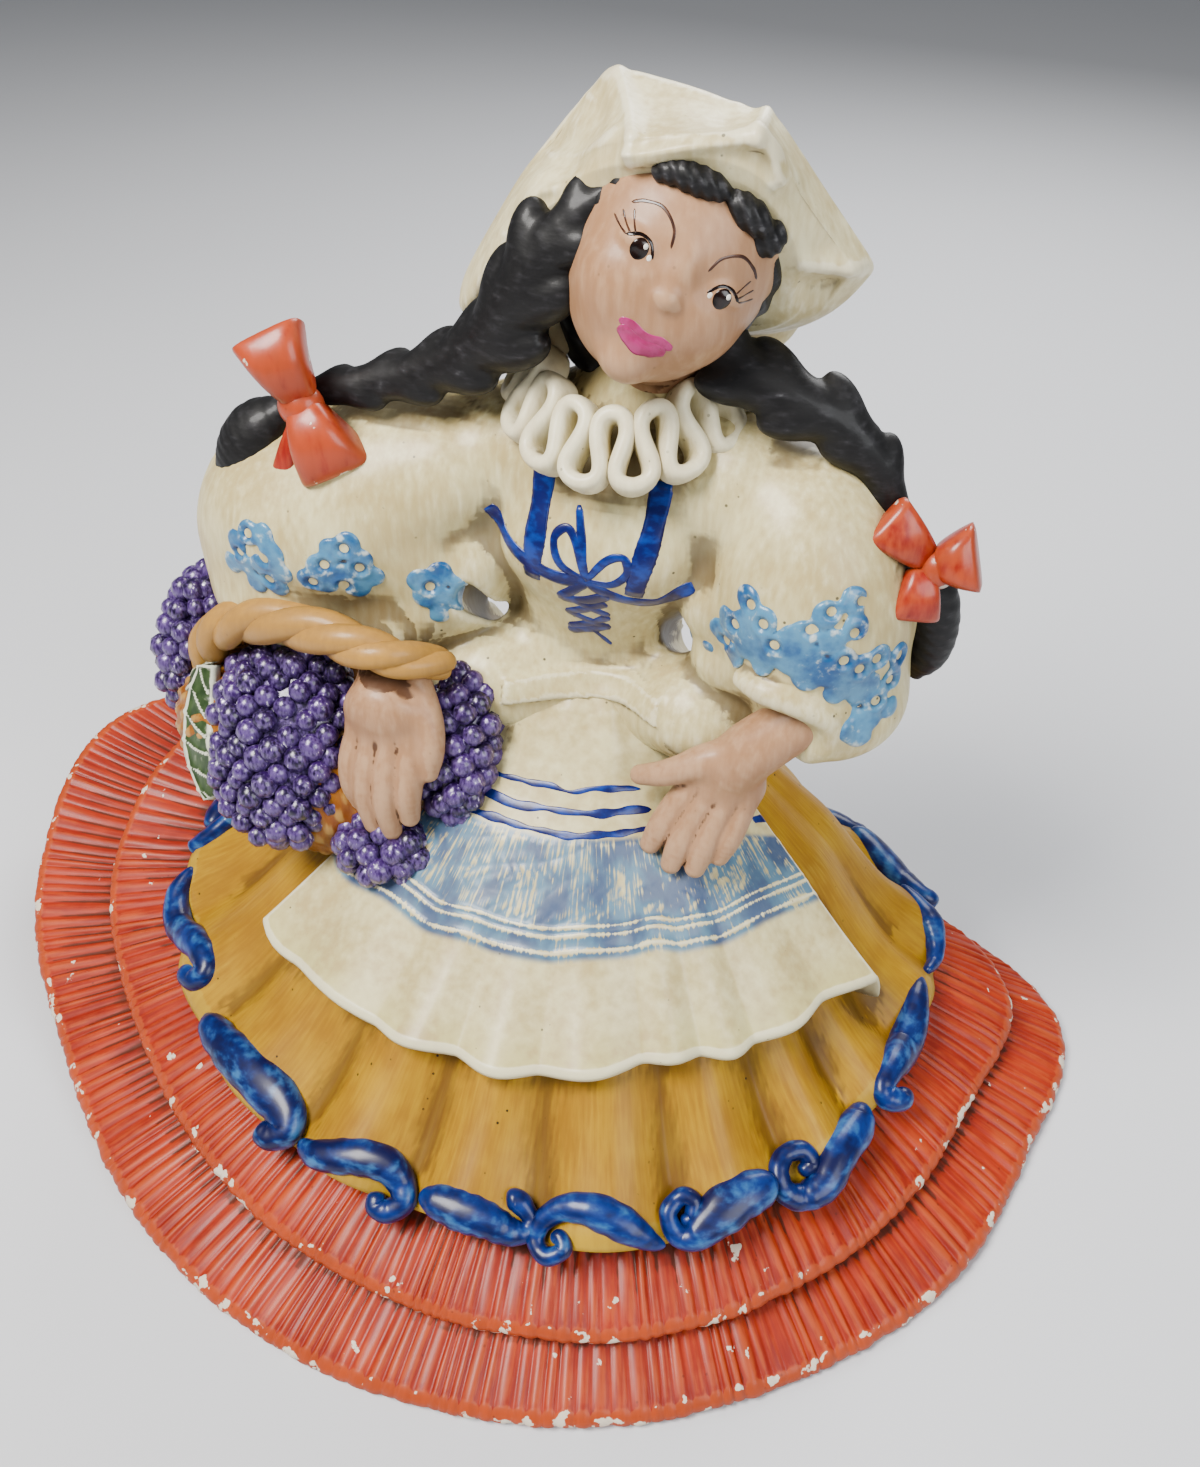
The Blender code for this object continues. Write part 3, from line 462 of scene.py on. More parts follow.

# The blue border: raised comma scrolls pressed on along the yellow hem, each a swelling stroke whose end
# rolls up into a curl, painted navy and dragged with lighter blue. Each is drawn as points: degrees
# round, mm out from the hem, and half the stroke's width.
SCROLL_LINES = (
    ((-81, -8.6, 2), (-79, -3.6, 2.4), (-78, 1.8, 2.2)),
    ((-74.5, -1, 1.3), (-71.5, 2.4, 2.9), (-67, 1.4, 3.6), (-62.5, -2.6, 3.8), (-58.5, -5.4, 3.5),
     (-55.5, -5.4, 3.1), (-55.5, -2, 2.9), (-58, 0, 2.5)),
    ((-50, -2.2, 2), (-46, -2.2, 4), (-40.5, -2.8, 4.8), (-34.5, -3.6, 5.2), (-30, -3.6, 4.9),
     (-27.5, -1.4, 4.1), (-28.5, 1.6, 3.2), (-30.5, 2.2, 2.6)),
    ((-24.5, -1, 1.5), (-21.5, -0.4, 3), (-18.5, -1.6, 3.7), (-15, -3.6, 4), (-11.5, -4.2, 3.7),
     (-9, -2.4, 3), (-8, 0.2, 2.6), (-9.5, 2.4, 2.6), (-11, 2.2, 2.4), (-11.5, 0.2, 1.8)),
    ((-6, -1.6, 1.7), (-3.5, -1, 3.5), (0, -0.4, 4.2), (3.5, -0.2, 3.8), (6.5, 0.2, 2.9), (8.5, -0.8, 2.2),
     (9, -2.8, 1.8), (7, -4.8, 2.4), (5.5, -4, 2)),
    ((26, 1.2, 0.9), (24.5, 0.4, 1.9), (22.5, -1.2, 3.1), (19.5, -3.4, 3.9), (16.5, -4.8, 3.5),
     (13, -4.8, 2.7), (10.5, -2.6, 2.2), (10, 0.6, 1.9), (11.5, 2.8, 1.9), (13.5, 1.6, 1.8),
     (13, -0.4, 1.6), (12, 0, 1.3)),
    ((42.5, -1.2, 1.4), (40.5, -1.6, 3.8), (36.5, -1.6, 4.9), (32.5, -0.4, 4.6), (29.5, 0.8, 3),
     (27.5, -0.8, 2.2), (27, -4, 1.9), (29, -5.8, 1.9), (30.5, -4.4, 1.9), (30, -2, 1.8), (28.5, -2.2, 1.4)),
    ((61.5, -1.8, 2.6), (58, 0.2, 4.1), (53, 1.6, 4), (49, 3.6, 3.7), (46, 3, 3.1), (43.5, 0.6, 2.5),
     (43.5, -3, 2.2), (45.5, -4.8, 2.1), (48, -3.4, 2.1), (48.5, -0.6, 2), (46.5, -0.8, 1.7)),
    ((88, -2.8, 1.2), (84, -1.8, 2.8), (79.5, -0.4, 3.9), (74, -0.2, 4), (68.5, -0.4, 3.1), (65.5, 0, 2.6),
     (65.5, 2.2, 2.8), (67, 4.4, 2.6), (68.5, 3.8, 1.9)),
    ((108, -6, 0.9), (104, -4.6, 2.1), (101, -2.8, 3.3), (98, -1.8, 2.6), (94.5, -1.4, 1.8),
     (90.5, -2.4, 1.1)),
)
PLAIN_SCROLL = ((9, -1.2, 2.2), (5, -0.6, 3.9), (0, 0, 4.4), (-5, 0.4, 3.4), (-8, 1.4, 2.6), (-8.6, 3.6, 2.4),
                (-6.4, 4, 1.8))
PLAIN_AT = (118, 137, 156, 175, 194, 213, 232, 251, 270)  # where the plain ones sit, behind her


def smooth_path(points, steps=6):
    """Close points on a smooth curve through every given point, with any further columns carried along."""
    points = np.asarray(points, float)
    ends = np.concatenate([[2 * points[0] - points[1]], points, [2 * points[-1] - points[-2]]])
    shares = np.linspace(0, 1, steps, endpoint=False)[:, None]
    corners = zip(ends[:-3], ends[1:-2], ends[2:-1], ends[3:])
    return np.concatenate([*(through(*four, shares) for four in corners), points[-1:]])


def unit(vectors):
    return vectors / np.maximum(np.linalg.norm(vectors, axis=-1, keepdims=True), 1e-9)


def swept(path, wide, proud, facing, around=14, squarish=2.0, **marks):
    """A bar carried along a path: at each point an oval wide across and proud along the facing direction,
    its corners filled out for a squarish power over 2. The ends shrink in and close."""
    path = np.asarray(path, float)
    ahead = unit(np.gradient(path, axis=0))
    facing = np.broadcast_to(facing, path.shape)
    side = unit(np.cross(ahead, facing))
    up = unit(np.cross(side, ahead))
    wide, proud = (np.broadcast_to(value, len(path)) for value in (wide, proud))
    angle = np.linspace(0, 2 * math.pi, around, endpoint=False)
    flat = np.sign(np.cos(angle)) * np.abs(np.cos(angle)) ** (2 / squarish)
    tall = np.sign(np.sin(angle)) * np.abs(np.sin(angle)) ** (2 / squarish)
    points = path[:, None] + side[:, None] * (wide[:, None] * flat)[..., None]
    points = points + up[:, None] * (proud[:, None] * tall)[..., None]
    return grid(points, **marks)


def tapered(count, first=0.5, last=0.5, over=0.12):
    """Radius along a bar: full in the middle, and rounded off towards either end."""
    place = np.linspace(0, 1, count)
    lead = np.sqrt(np.clip(1 - (1 - np.clip(place / over, 0, 1)) ** 2, 0.0, 1)) * (1 - first) + first
    tail = np.sqrt(np.clip(1 - (1 - np.clip((1 - place) / over, 0, 1)) ** 2, 0.0, 1)) * (1 - last) + last
    return lead * tail


def scrolls():
    """Strokes that lie on the hem's edge: they climb the slope inwards and sag over the edge outwards."""
    made = []
    lines = list(SCROLL_LINES) + [[(at + d, out, half) for d, out, half in PLAIN_SCROLL] for at in PLAIN_AT]
    for k, line in enumerate(lines):
        degrees, out, half = smooth_path(line, 9).T
        base = YELLOW_HEM + YELLOW_EDGE + 0.6 + swirl(degrees) * YELLOW_LIFT + HEM_WAVE * folds(degrees)
        height = base - np.where(out > 0, 0.62, 0.75) * out
        reach = along(YELLOW_REACH, degrees) + out
        path = np.column_stack([turn_towards(degrees) * reach[:, None], height])
        wide = half * (1 + 0.06 * waves(np.arange(len(half)) * 0.6, k)) * tapered(len(half), 0.35, 0.4, 0.07)
        facing = unit(np.column_stack([turn_towards(degrees) * 0.5, np.full(len(half), 0.87)]))
        tint = np.random.default_rng(k).uniform(0, 1)
        made.append(swept(path, wide, np.minimum(wide * 0.85 + 0.4, 3.3), facing, 18, 2.3, tint=tint))
    return made


def blue_paint():
    """Navy brushed thick, with lighter blue dragged over the rounded tops."""
    p = Paint("blue_paint", 0.4, 0.25)
    hollow, seam_shade = p.marks("hollow", "seam_shade")
    streak = p.noise(420, 4, stretch=(0.5, 0.5, 1.2))
    cover = (streak * 0.9 + p.noise(110) * 0.6 + p.mark("tint") * 0.12).between(0.62, 1.05)
    tone = p.mix(cover, shade(14, 30, 92), shade(22, 80, 160))
    # Lighter blue on the rounded tops: dry-brushed paint and a painted highlight.
    dragged = ((0 - hollow) * 0.3 + streak * 1.3 - 0.72).between(0.1, 0.45) * 0.55
    tone = p.mix(dragged, tone, shade(104, 166, 210))
    # Dark navy in hollows and seams: painted shade.
    tone = p.mix((hollow * 1.2 + seam_shade * 1.6 - 0.15).between(0.1, 0.7) * 0.85, tone, shade(12, 18, 44))
    p.set(base_color=tone)
    p.bump(0.15, streak)
    return p.material


BLUE = blue_paint()
piece("blue_scrolls", scrolls(), BLUE)

# The apron: cast on the front of the skirt and standing off it, cream, gathered under the belt, with a lace
# band in low relief and a thick ruffled hem that kicks out. Three blue stripes are brushed across it.
APRON_FROM, APRON_TO, APRON_MIDDLE = -52, 76, 13
APRON_AT = (-54, -50, -46, -35, -29, -20, -8, 0, 8, 21, 28, 34, 40, 48, 61, 70, 78)
APRON_REACH = (79, 81.5, 82, 77, 76, 76, 73, 73.5, 72.8, 72, 70.2, 70.8, 71.6, 71, 69.8, 71.5, 74)
RUFFLE_AT = (-70, -41, -21, -6, 8, 25, 35, 45, 62, 92)
LACE_FROM, LACE_TO = (0.53, 0.52, 0.51, 0.54, 0.62), (0.79, 0.775, 0.765, 0.775, 0.79)
LACE_AT = (-52, -25, 10, 45, 76)


def hem_reach(at):
    """The apron's reach in a direction, its corners rounded by a running mean."""
    return sum(np.interp(at + step, APRON_AT, APRON_REACH) for step in (-4, -2, 0, 2, 4)) / 5


def apron_top(share, at):
    """A point of the apron's face: a share of its reach in a direction. Its height is the cone's, plus its
    thickness, a kick at the hem, gathers under the belt and ruffles that grow towards the hem."""
    share, at = np.broadcast_arrays(np.asarray(share, float), np.asarray(at, float))
    place = np.interp(at, RUFFLE_AT, np.arange(len(RUFFLE_AT)))
    ruffle = 2 * np.abs(np.sin(math.pi * place)) ** 1.4 - 1
    reach = hem_reach(at) + 1.1 * ruffle * np.clip(share * 4 - 3, 0, 1)
    degrees = APRON_MIDDLE + (at - APRON_MIDDLE) * (1 + 0.10 * (1 - share))
    side = np.clip(np.minimum(at - APRON_FROM, APRON_TO - at) / 1.6, 0, 1) ** 0.5
    kick = np.clip((share - 0.78) / 0.22, 0, None) ** 1.5
    distance = reach * share
    gather = np.cos(np.radians(at) * 17 + 2 * waves(at * 0.1, 5))
    gather = np.clip(1 - np.abs(share - 0.30) / 0.16, 0, 1) * gather
    ruffles = ruffle * np.clip(share * 2.4 - 1.5, 0, 1) * 1.5
    stand = (3.6 + 3.0 * kick + 0.45 * gather) * side + ruffles + 0.25 * waves(at * 0.16 + share * 5, 8)
    low, high = np.interp(at, LACE_AT, LACE_FROM), np.interp(at, LACE_AT, LACE_TO)
    inside = np.clip((share - low) / 0.02, 0, 1) * np.clip((high - share) / 0.02, 0, 1)
    lines = sum(np.exp(-(((share - high + back) / 0.006) ** 2)) for back in (0.012, 0.045, 0.062))
    motif = waves(at * 0.55 + 2.5 * waves(share * 60, 12), 9) * waves(share * 75 + at * 0.2, 10)
    motif = np.abs(motif) ** 0.7
    stand = stand + inside * (0.20 + 0.30 * motif * (share < high - 0.07)) + 0.32 * lines * side
    flat = turn_towards(degrees) * distance[..., None]
    return np.concatenate([flat, (smooth_cone(distance, degrees) + stand)[..., None]], axis=-1)


def apron():
    """The face, turned down round the hem and the sides, and a hidden back sunk in the skirt."""
    at = np.linspace(APRON_FROM, APRON_TO, 430)
    share = np.linspace(0.17, 1.0, 190)
    face = apron_top(share[:, None], at[None, :])
    low, high = np.interp(at, LACE_AT, LACE_FROM), np.interp(at, LACE_AT, LACE_TO)
    lace = np.clip((share[:, None] - low) / 0.012, 0, 1)
    lace = lace * np.clip((high + 0.01 - share[:, None]) / 0.012, 0, 1)
    out = turn_towards(at)
    rim = face[-1]
    turn = [rim + np.column_stack([out * forward, np.full(len(at), -drop)])
            for forward, drop in ((0.75, 0.5), (1.0, 1.4), (0.8, 2.4), (-0.4, 3.2), (-4, 3.9), (-9, 5.2))]
    back = face[[150, 110, 60, 0]] - np.array([0, 0, 7.0])
    points = np.concatenate([face, np.stack(turn), back])
    extra = len(points) - len(face)
    down = np.concatenate([share * 78, 78 + 0.8 * np.arange(extra)])[:, None]
    lace = np.concatenate([lace, np.zeros((extra, len(at)))])
    hem = np.concatenate([np.clip((share - 0.9) * 10, 0, 1), np.ones(extra)])[:, None]
    across = (at * 1.15)[None, :]
    shape = grid(points, ring=False, loop=True, ends=False, across=across, down=down, lace=lace, hem=hem)
    rows, columns = points.shape[:2]
    sides = []
    for column, way in ((0, 1), (columns - 1, -1)):
        ring = np.arange(rows) * columns + column
        centre = len(shape["places"]) + len(sides)
        fan = np.stack([ring, np.roll(ring, -1), np.full(rows, centre)], axis=-1)[:, ::way]
        sides.append((points[:, column].mean(axis=0), fan))
    shape["places"] = np.concatenate([shape["places"], [centre for centre, _ in sides]])
    shape["fans"] = np.concatenate([fan for _, fan in sides])
    shape["marks"] = {key: np.append(value, [0, 0]) for key, value in shape["marks"].items()}
    return shape


def painted(surface, line, half, proud, sink=0.5):
    """A brush stroke as a thin closed body: its centre line lies in the two parameters of a surface, it is
    half wide to either side, its top is domed and proud, and its underside is sunk in the surface."""
    line = np.asarray(line, float)
    half = np.broadcast_to(half, len(line))
    ahead = unit(np.gradient(line, axis=0))
    side = np.stack([-ahead[:, 1], ahead[:, 0]], axis=-1)
    across = np.linspace(-1, 1, 7)
    flat = line[:, None] + side[:, None] * (half[:, None] * across)[..., None]
    step = 0.2
    top = surface(flat[..., 0], flat[..., 1])
    right = surface(flat[..., 0] + step, flat[..., 1]) - top
    up = surface(flat[..., 0], flat[..., 1] + step) - top
    normal = unit(np.cross(right, up))
    dome = proud * (1 - np.abs(across) ** 3) - 0.02
    face = top + normal * dome[None, :, None]
    under = (top - normal * sink)[:, 5:0:-1]
    return grid(np.concatenate([face, under], axis=1))


def on_apron(across, down):
    """The apron's face by millimetres across (from straight ahead) and down from the waist's axis."""
    return apron_top(np.asarray(down) / 75, -np.asarray(across) / 0.62)


def apron_stripes():
    """Three uneven strokes over the front, and two short ones beyond her hand."""
    made = []
    for down, first, last, width, seed in ((31.2, -20.5, 20.5, 0.62, 1), (34.6, -22.0, 21.0, 0.95, 2),
                                           (38.0, -21.0, 20.0, 0.85, 3), (39.0, -47.0, -43.5, 0.9, 4),
                                           (41.6, -47.0, -43.5, 1.1, 5)):
        across = np.linspace(first, last, 60 if last - first > 10 else 14)
        wobble = 0.5 * waves(across * 0.35, seed) + 0.035 * np.abs(across)
        half = width * (0.75 + 0.45 * waves(across * 0.6, seed + 9)) * tapered(len(across), 0.15, 0.25, 0.08)
        made.append(painted(on_apron, np.column_stack([across, down + wobble]), np.maximum(half, 0.12), 0.1))
    return made


CREAM, CREAM_DEEP, CREAM_PALE = shade(234, 225, 180), shade(210, 192, 142), shade(246, 242, 218)


def lace_paint():
    """Cream, with blue dragged down over the raised lace band in thin dry streaks, and a yellower hem."""
    p = Paint("apron_cream", 0.4, 0.25)
    hollow, seam_shade, lace, hem = p.marks("hollow", "seam_shade", "lace", "hem")
    streak, patch = p.flat_noise(0.12, 1.3, 6), p.flat_noise(1, 0.11, 3)
    mottle, cloud = p.noise(420, 5), p.noise(75)
    tone = p.mix((cloud * 0.6 + mottle * 0.5).between(0.35, 0.75), CREAM_DEEP, CREAM)
    tone = p.mix(hem * (mottle + cloud - 0.6).between(0, 0.5) * 0.6, tone, shade(224, 214, 146))
    # Paler cream on what bulges out: pale paint and a painted highlight.
    tone = p.mix(((0 - hollow) * 1.4 + mottle * 0.5 - 0.3).between(0, 0.6) * 0.5, tone, CREAM_PALE)
    # Brown in hollows and where other surfaces crowd close: a settled wash and painted shade.
    wash_and_shade = (hollow * 1.1 + seam_shade * 1.5 + mottle * 0.35 - 0.42).between(0.05, 0.8) * 0.75
    tone = p.mix(wash_and_shade, tone, shade(112, 78, 46))
    dragged = (streak * 1.25 + patch * 0.8 + hollow * 0.9 + mottle * 0.25 - 0.8).between(0.1, 0.34)
    faded = p.mix(patch.between(0.42, 0.62), shade(96, 152, 184), shade(46, 104, 156))
    tone = p.mix(lace * dragged * 0.9, tone, faded)
    tone = p.specked(tone, (0.06, 0.1), (0.54, 0.62), 0.7, shade(40, 32, 24))
    p.set(base_color=tone, roughness=0.3 + mottle * 0.16)
    p.bump(0.12, streak * 0.4 + mottle * 0.6)
    return p.material


def brushed_blue():
    """Navy laid on thick with a small brush, with lighter streaks."""
    p = Paint("brushed_blue", 0.36, 0.3)
    streak = p.noise(600, 4, stretch=(0.6, 0.6, 1))
    light = (streak + p.noise(160) * 0.4).between(0.6, 0.9)
    p.set(base_color=p.mix(light, shade(16, 38, 118), shade(30, 86, 176)))
    p.bump(0.12, streak)
    return p.material


BRUSHED_BLUE = brushed_blue()
piece("apron", [apron()], lace_paint())
piece("apron_stripes", apron_stripes(), BRUSHED_BLUE)

# Her body: bodice, belt, shoulders and puffed sleeves, cast as one and painted cream. It is found as the
# surface where a field of soft-joined rounded forms is zero, so that they run into each other as clay does.


def melt(first, second, soft):
    """Union of two distance fields with a fillet of about soft mm where they meet."""
    share = np.clip(0.5 + 0.5 * (second - first) / soft, 0, 1)
    return second * (1 - share) + first * share - soft * share * (1 - share)


def dig(field, hole, soft):
    """A field with a hole taken out, its edge rounded by about soft mm."""
    return -melt(-field, hole, soft)


def egg(p, centre, radii, turn=(0, 0, 0)):
    """Distance, nearly, to an oval body with three radii, turned by degrees about X, Y and Z."""
    turned = np.array(Euler([math.radians(a) for a in turn]).to_matrix(), np.float32)
    local = (p - np.asarray(centre, np.float32)) @ turned
    radii = np.asarray(radii, np.float32)
    first = np.linalg.norm(local / radii, axis=-1)
    second = np.linalg.norm(local / radii**2, axis=-1)
    return first * (first - 1) / np.maximum(second, 1e-6)


def melted(p, whole, *forms):
    """A field with oval bodies melted on one by one: each is its centre, radii, fillet and, if any, turn."""
    for centre, radii, soft, *turn in forms:
        whole = melt(whole, egg(p, centre, radii, *turn), soft)
    return whole


def rod(p, path, radii, steps=4):
    """Distance to a rounded rod along a smooth path whose radius changes from point to point."""
    rows = smooth_path(np.column_stack([np.asarray(path, float), np.broadcast_to(radii, len(path))]), steps)
    rows = rows.astype(np.float32)
    best = None
    for start, end in zip(rows[:-1], rows[1:]):
        line = end[:3] - start[:3]
        share = np.clip((p - start[:3]) @ line / max(float(line @ line), 1e-6), 0, 1)
        away = np.linalg.norm(p - start[:3] - share[..., None] * line, axis=-1)
        away = away - (start[3] + (end[3] - start[3]) * share)
        best = away if best is None else np.minimum(best, away)
    return best


def cast(field, low, high, cell, **marks):
    """The surface where a field is zero, as one shape. A box of cells is searched for changes of sign;
    each cell that has one gets a point at the mean of its crossings, and each crossing a quad between the
    four cells round it. The points then slide down the field's slope to the zero."""
    low = np.asarray(low, float)
    axes = [np.arange(low[i], high[i] + cell, cell, dtype=np.float32) for i in range(3)]
    value = field(np.stack(np.meshgrid(*axes, indexing="ij"), axis=-1))
    count = np.array(value.shape)
    found, places = [], []
    for axis in range(3):
        start = np.take(value, range(count[axis] - 1), axis=axis)
        end = np.take(value, range(1, count[axis]), axis=axis)
        cross = np.argwhere((start < 0) != (end < 0))
        a, b = start[tuple(cross.T)], end[tuple(cross.T)]
        spot = cross.astype(float)
        spot[:, axis] += a / (a - b)
        around = np.zeros((4, 3), int)
        around[:, (axis + 1) % 3] = (0, -1, -1, 0)
        around[:, (axis + 2) % 3] = (0, 0, -1, -1)
        around = around[None] + cross[:, None]
        around[a > 0] = around[a > 0][:, ::-1]
        found.append(np.ravel_multi_index(tuple(np.moveaxis(around, -1, 0)), count, mode="clip"))
        places.append(np.repeat((low + spot * cell)[:, None], 4, axis=1))
    found, places = np.concatenate(found), np.concatenate(places).reshape(-1, 3)
    _, index = np.unique(found.ravel(), return_inverse=True)
    many = np.bincount(index)
    points = np.stack([np.bincount(index, places[:, i]) for i in range(3)], axis=-1) / many[:, None]
    for _ in range(3):
        points = slide(field, points, cell * 0.2)
    return {"places": points, "quads": index.reshape(-1, 4), "fans": np.zeros((0, 3), int),
            "marks": {key: np.full(len(points), value, float) for key, value in marks.items()}}


def slope(field, points, step):
    """How fast a field changes along X, Y and Z."""
    points = points.astype(np.float32)
    moves = np.eye(3, dtype=np.float32) * step
    return np.stack([(field(points + move) - field(points - move)) / (2 * step) for move in moves], axis=-1)


def slide(field, points, step):
    """Points moved to a field's zero, along its slope."""
    down = slope(field, points, step)
    away = field(points.astype(np.float32)) / np.maximum((down**2).sum(axis=-1), 0.25)
    return points - np.clip(away, -1, 1)[:, None] * down


def seen_from_front(field, across, up, start=-60.0):
    """Points of a field's surface met first on the way back from the front, by their X and Z."""
    across, up = np.broadcast_arrays(np.asarray(across, float), np.asarray(up, float))
    place = np.stack([across, np.full(across.shape, start), up], axis=-1).astype(np.float32)
    for _ in range(40):
        place[..., 1] += np.maximum(field(place), -0.5) * 0.8
    return place


BODY_RISE = (104, 109, 113, 117, 122, 130, 138, 146, 154, 162, 169, 175, 182, 190)
BODY_WIDE = (23, 21.5, 20.5, 17.5, 17.5, 19.5, 22.5, 25, 26, 26, 23, 16, 10.5, 9)
BODY_DEEP = (20, 18.5, 17, 14, 13.8, 16, 18.8, 20.5, 19.5, 17.5, 15, 12.5, 9.5, 8.5)
BODY_SIDE = (0, 0, 0, 0, 0.3, 1.5, 3, 4.5, 5.8, 7, 8.5, 10, 12, 14)
BODY_FORE = (0, 0, 0, 0, 0, -0.5, -1.2, -1.8, -1.5, -0.5, 0.5, 0, -1.5, -3)


def trunk(p):
    """An upright body of oval slices, whose sizes and centres follow the height."""
    fine = smooth_path(np.column_stack([BODY_RISE, BODY_WIDE, BODY_DEEP, BODY_SIDE, BODY_FORE]), 5)
    rise = fine[:, 0]
    wide, deep, side, fore = (np.interp(p[..., 2], rise, fine[:, i]).astype(np.float32) for i in range(1, 5))
    x, y = p[..., 0] - side, p[..., 1] - fore
    first = np.sqrt((x / wide) ** 2 + (y / deep) ** 2)
    second = np.sqrt((x / wide**2) ** 2 + (y / deep**2) ** 2)
    away = first * (first - 1) / np.maximum(second, 1e-6)
    return np.maximum(away * 0.95, np.maximum(p[..., 2] - 188, 103 - p[..., 2]))


def sleeve_right(p):
    """Her right sleeve: two eggs in one, with soft gathers that run out from the shoulder to the cuff."""
    low = egg(p, (-55, -5, 141.5), (35, 25, 23), (0, -20, 0))
    top = egg(p, (-36, -4, 153), (24, 19, 16), (0, -14, 0))
    whole = melt(low, top, 5)
    turn = np.arctan2(p[..., 2] - 118, p[..., 0] + 18)
    return whole + 0.55 * np.cos(turn * 13 + 1.1) * np.clip((p[..., 0] + 30) / -60 + 0.4, 0.1, 0.9)


def sleeve_left(p):
    """Her left sleeve: an upright egg with a pinch below the shoulder."""
    whole = egg(p, (45.5, -8, 142), (19.5, 21, 29.5), (-4, -14, 0))
    turn = np.arctan2(p[..., 1] + 8, p[..., 0] - 45)
    return whole + 0.5 * np.cos(turn * 7 + 0.5) * np.clip((150 - p[..., 2]) / 40, 0.1, 0.9)


CUFF = ((36.5, -26, 131.5), (41, -28.4, 131.6), (47.7, -28.6, 130.4), (53.2, -26.6, 126.6),
        (54.2, -25, 120.6), (50.6, -24.6, 116))
OPENING_TURN = (-36, 0, 0)

HIPS = ((-20, -9, 110.5), (17, 16, 12), 9), ((26, -9, 111.5), (15, 16, 12), 9)
BUST = ((-4, -13, 147), (10.5, 8.5, 10), 5), ((13, -13, 148), (10.5, 8.5, 10), 5)
SHOULDERS = ((-14, -2, 161), (18, 14, 12), 7, (0, -12, 0)), ((31, -4, 160), (17, 15, 14), 6, (0, 35, 0))


def body(p):
    """The whole cream body, with the two openings between arms and waist, a belt, and two finger dents."""
    whole = melted(p, trunk(p), *BUST, *SHOULDERS, *HIPS)
    right = melted(p, sleeve_right(p), ((-60, -14, 123), (22, 15, 10), 9, (0, -4, 0)),
                   ((-35, -8, 136), (15, 16, 17), 4, (0, 10, 0)), ((-28, -7, 130.5), (11, 15, 11.5), 4),
                   ((-39, -12, 125), (14, 14, 9), 4), ((-21, -8, 139), (8, 12, 10), 4))
    left = melted(p, sleeve_left(p), ((52, -13, 121), (14.5, 14, 9.5), 7, (14, -12, 0)),
                  ((33, -8, 127), (10.5, 13, 9.5), 4), ((27.5, -8, 139), (8, 12, 10), 4))
    left = melt(left, rod(p, CUFF, [1.8, 2.5, 2.7, 2.7, 2.4, 1.8]), 2.5)
    whole = melt(melt(whole, right, 3.2), left, 3.2)
    belt = np.abs(p[..., 2] - 115 - 0.06 * p[..., 0]) - 2.2
    band = melted(p, trunk(p), *HIPS) - 1.2
    whole = melt(whole, np.maximum(np.maximum(band, belt * 0.8), np.abs(p[..., 0] - 3) * 0.8 - 13), 1.6)
    for centre, size in (((39, -30, 159), 3.4), ((-52, -29.5, 160), 3.0)):
        whole = dig(whole, egg(p, centre, (size * 1.5, size, size)), 4.5)
    whole = dig(whole, egg(p, (-21.6, 2, 118), (3.8, 36, 4.2), OPENING_TURN), 1.6)
    return dig(whole, egg(p, (19.6, 2, 118.6), (4.0, 36, 3.8), OPENING_TURN), 1.6)


CREAM_PAINT = brushed("cream_paint", CREAM, CREAM_DEEP, CREAM_PALE, wash=0.7, pale_ridges=0.35, specks=0.8)
piece("body_and_sleeves", [cast(body, (-94, -36, 102), (72, 30, 189), 0.85)], CREAM_PAINT)

# The bodice's blue paint: shoulder straps, a neckline with a tied bow, crossed laces and a loose end, brushed
# thickly on the cream by eye.


def on_bodice(across, up):
    return seen_from_front(body, across, up)


def stroke(points, half, first=0.45, last=0.45, steps=7, surface=on_bodice, proud=0.2):
    """A brush stroke through points given as X and Z, a little uneven in width."""
    line = smooth_path(points, steps)
    count = len(line)
    width = half * (0.92 + 0.12 * waves(np.arange(count) * 0.5, count)) * tapered(count, first, last)
    return painted(surface, line, width, proud)


def lacing():
    """Two straps, the neckline's two ends, the bow's loops and tails, five laces and a loose end."""
    bow = (4.4, 144.6)
    return [
        stroke([(-5.2, 164.5), (-5.8, 154), (-6.8, 142.6)], 2.5, 0.85, 0.85),
        stroke([(17.2, 164.6), (16.2, 154), (13.6, 142.4)], 2.4, 0.85, 0.85),
        stroke([(-17.2, 153.6), (-13.6, 149.2), (-7, 146.2), (-1, 144.4), bow], 1.85, 0.7, 0.8),
        stroke([bow, (8, 142.2), (13, 140.6), (18, 140.2), (21.5, 142.6), (24.2, 144.6)], 1.7, 0.8, 0.6),
        stroke([bow, (-0.5, 147.6), (-2, 152.4), (0.4, 154.6), (2.6, 151.6), bow], 0.95),
        stroke([bow, (8.4, 149.8), (11.8, 151), (12.6, 148), (9.4, 144.8), bow], 0.95),
        stroke([bow, (3.6, 151.6), (2.2, 158.8)], 1.0),
        stroke([bow, (2, 142), (-0.8, 138.8), (4, 138.9), (8.8, 141.4)], 1.5),
        stroke([(-0.8, 139.4), (3.4, 137), (7.8, 134.4)], 1.25),
        stroke([(7.8, 138.6), (3.4, 136), (-1.2, 133.8)], 1.25),
        stroke([(-1.2, 134.4), (3.4, 132), (7.2, 129.8)], 1.25),
        stroke([(7.6, 134), (3.4, 131), (-1.4, 129)], 1.25),
        stroke([(-1.6, 127.6), (3, 129.2), (7.4, 130.8)], 1.5),
        stroke([(3.8, 128.8), (5.4, 126.6), (6.8, 124.4)], 0.6),
    ]


piece("bodice_lacing", lacing(), BRUSHED_BLUE)

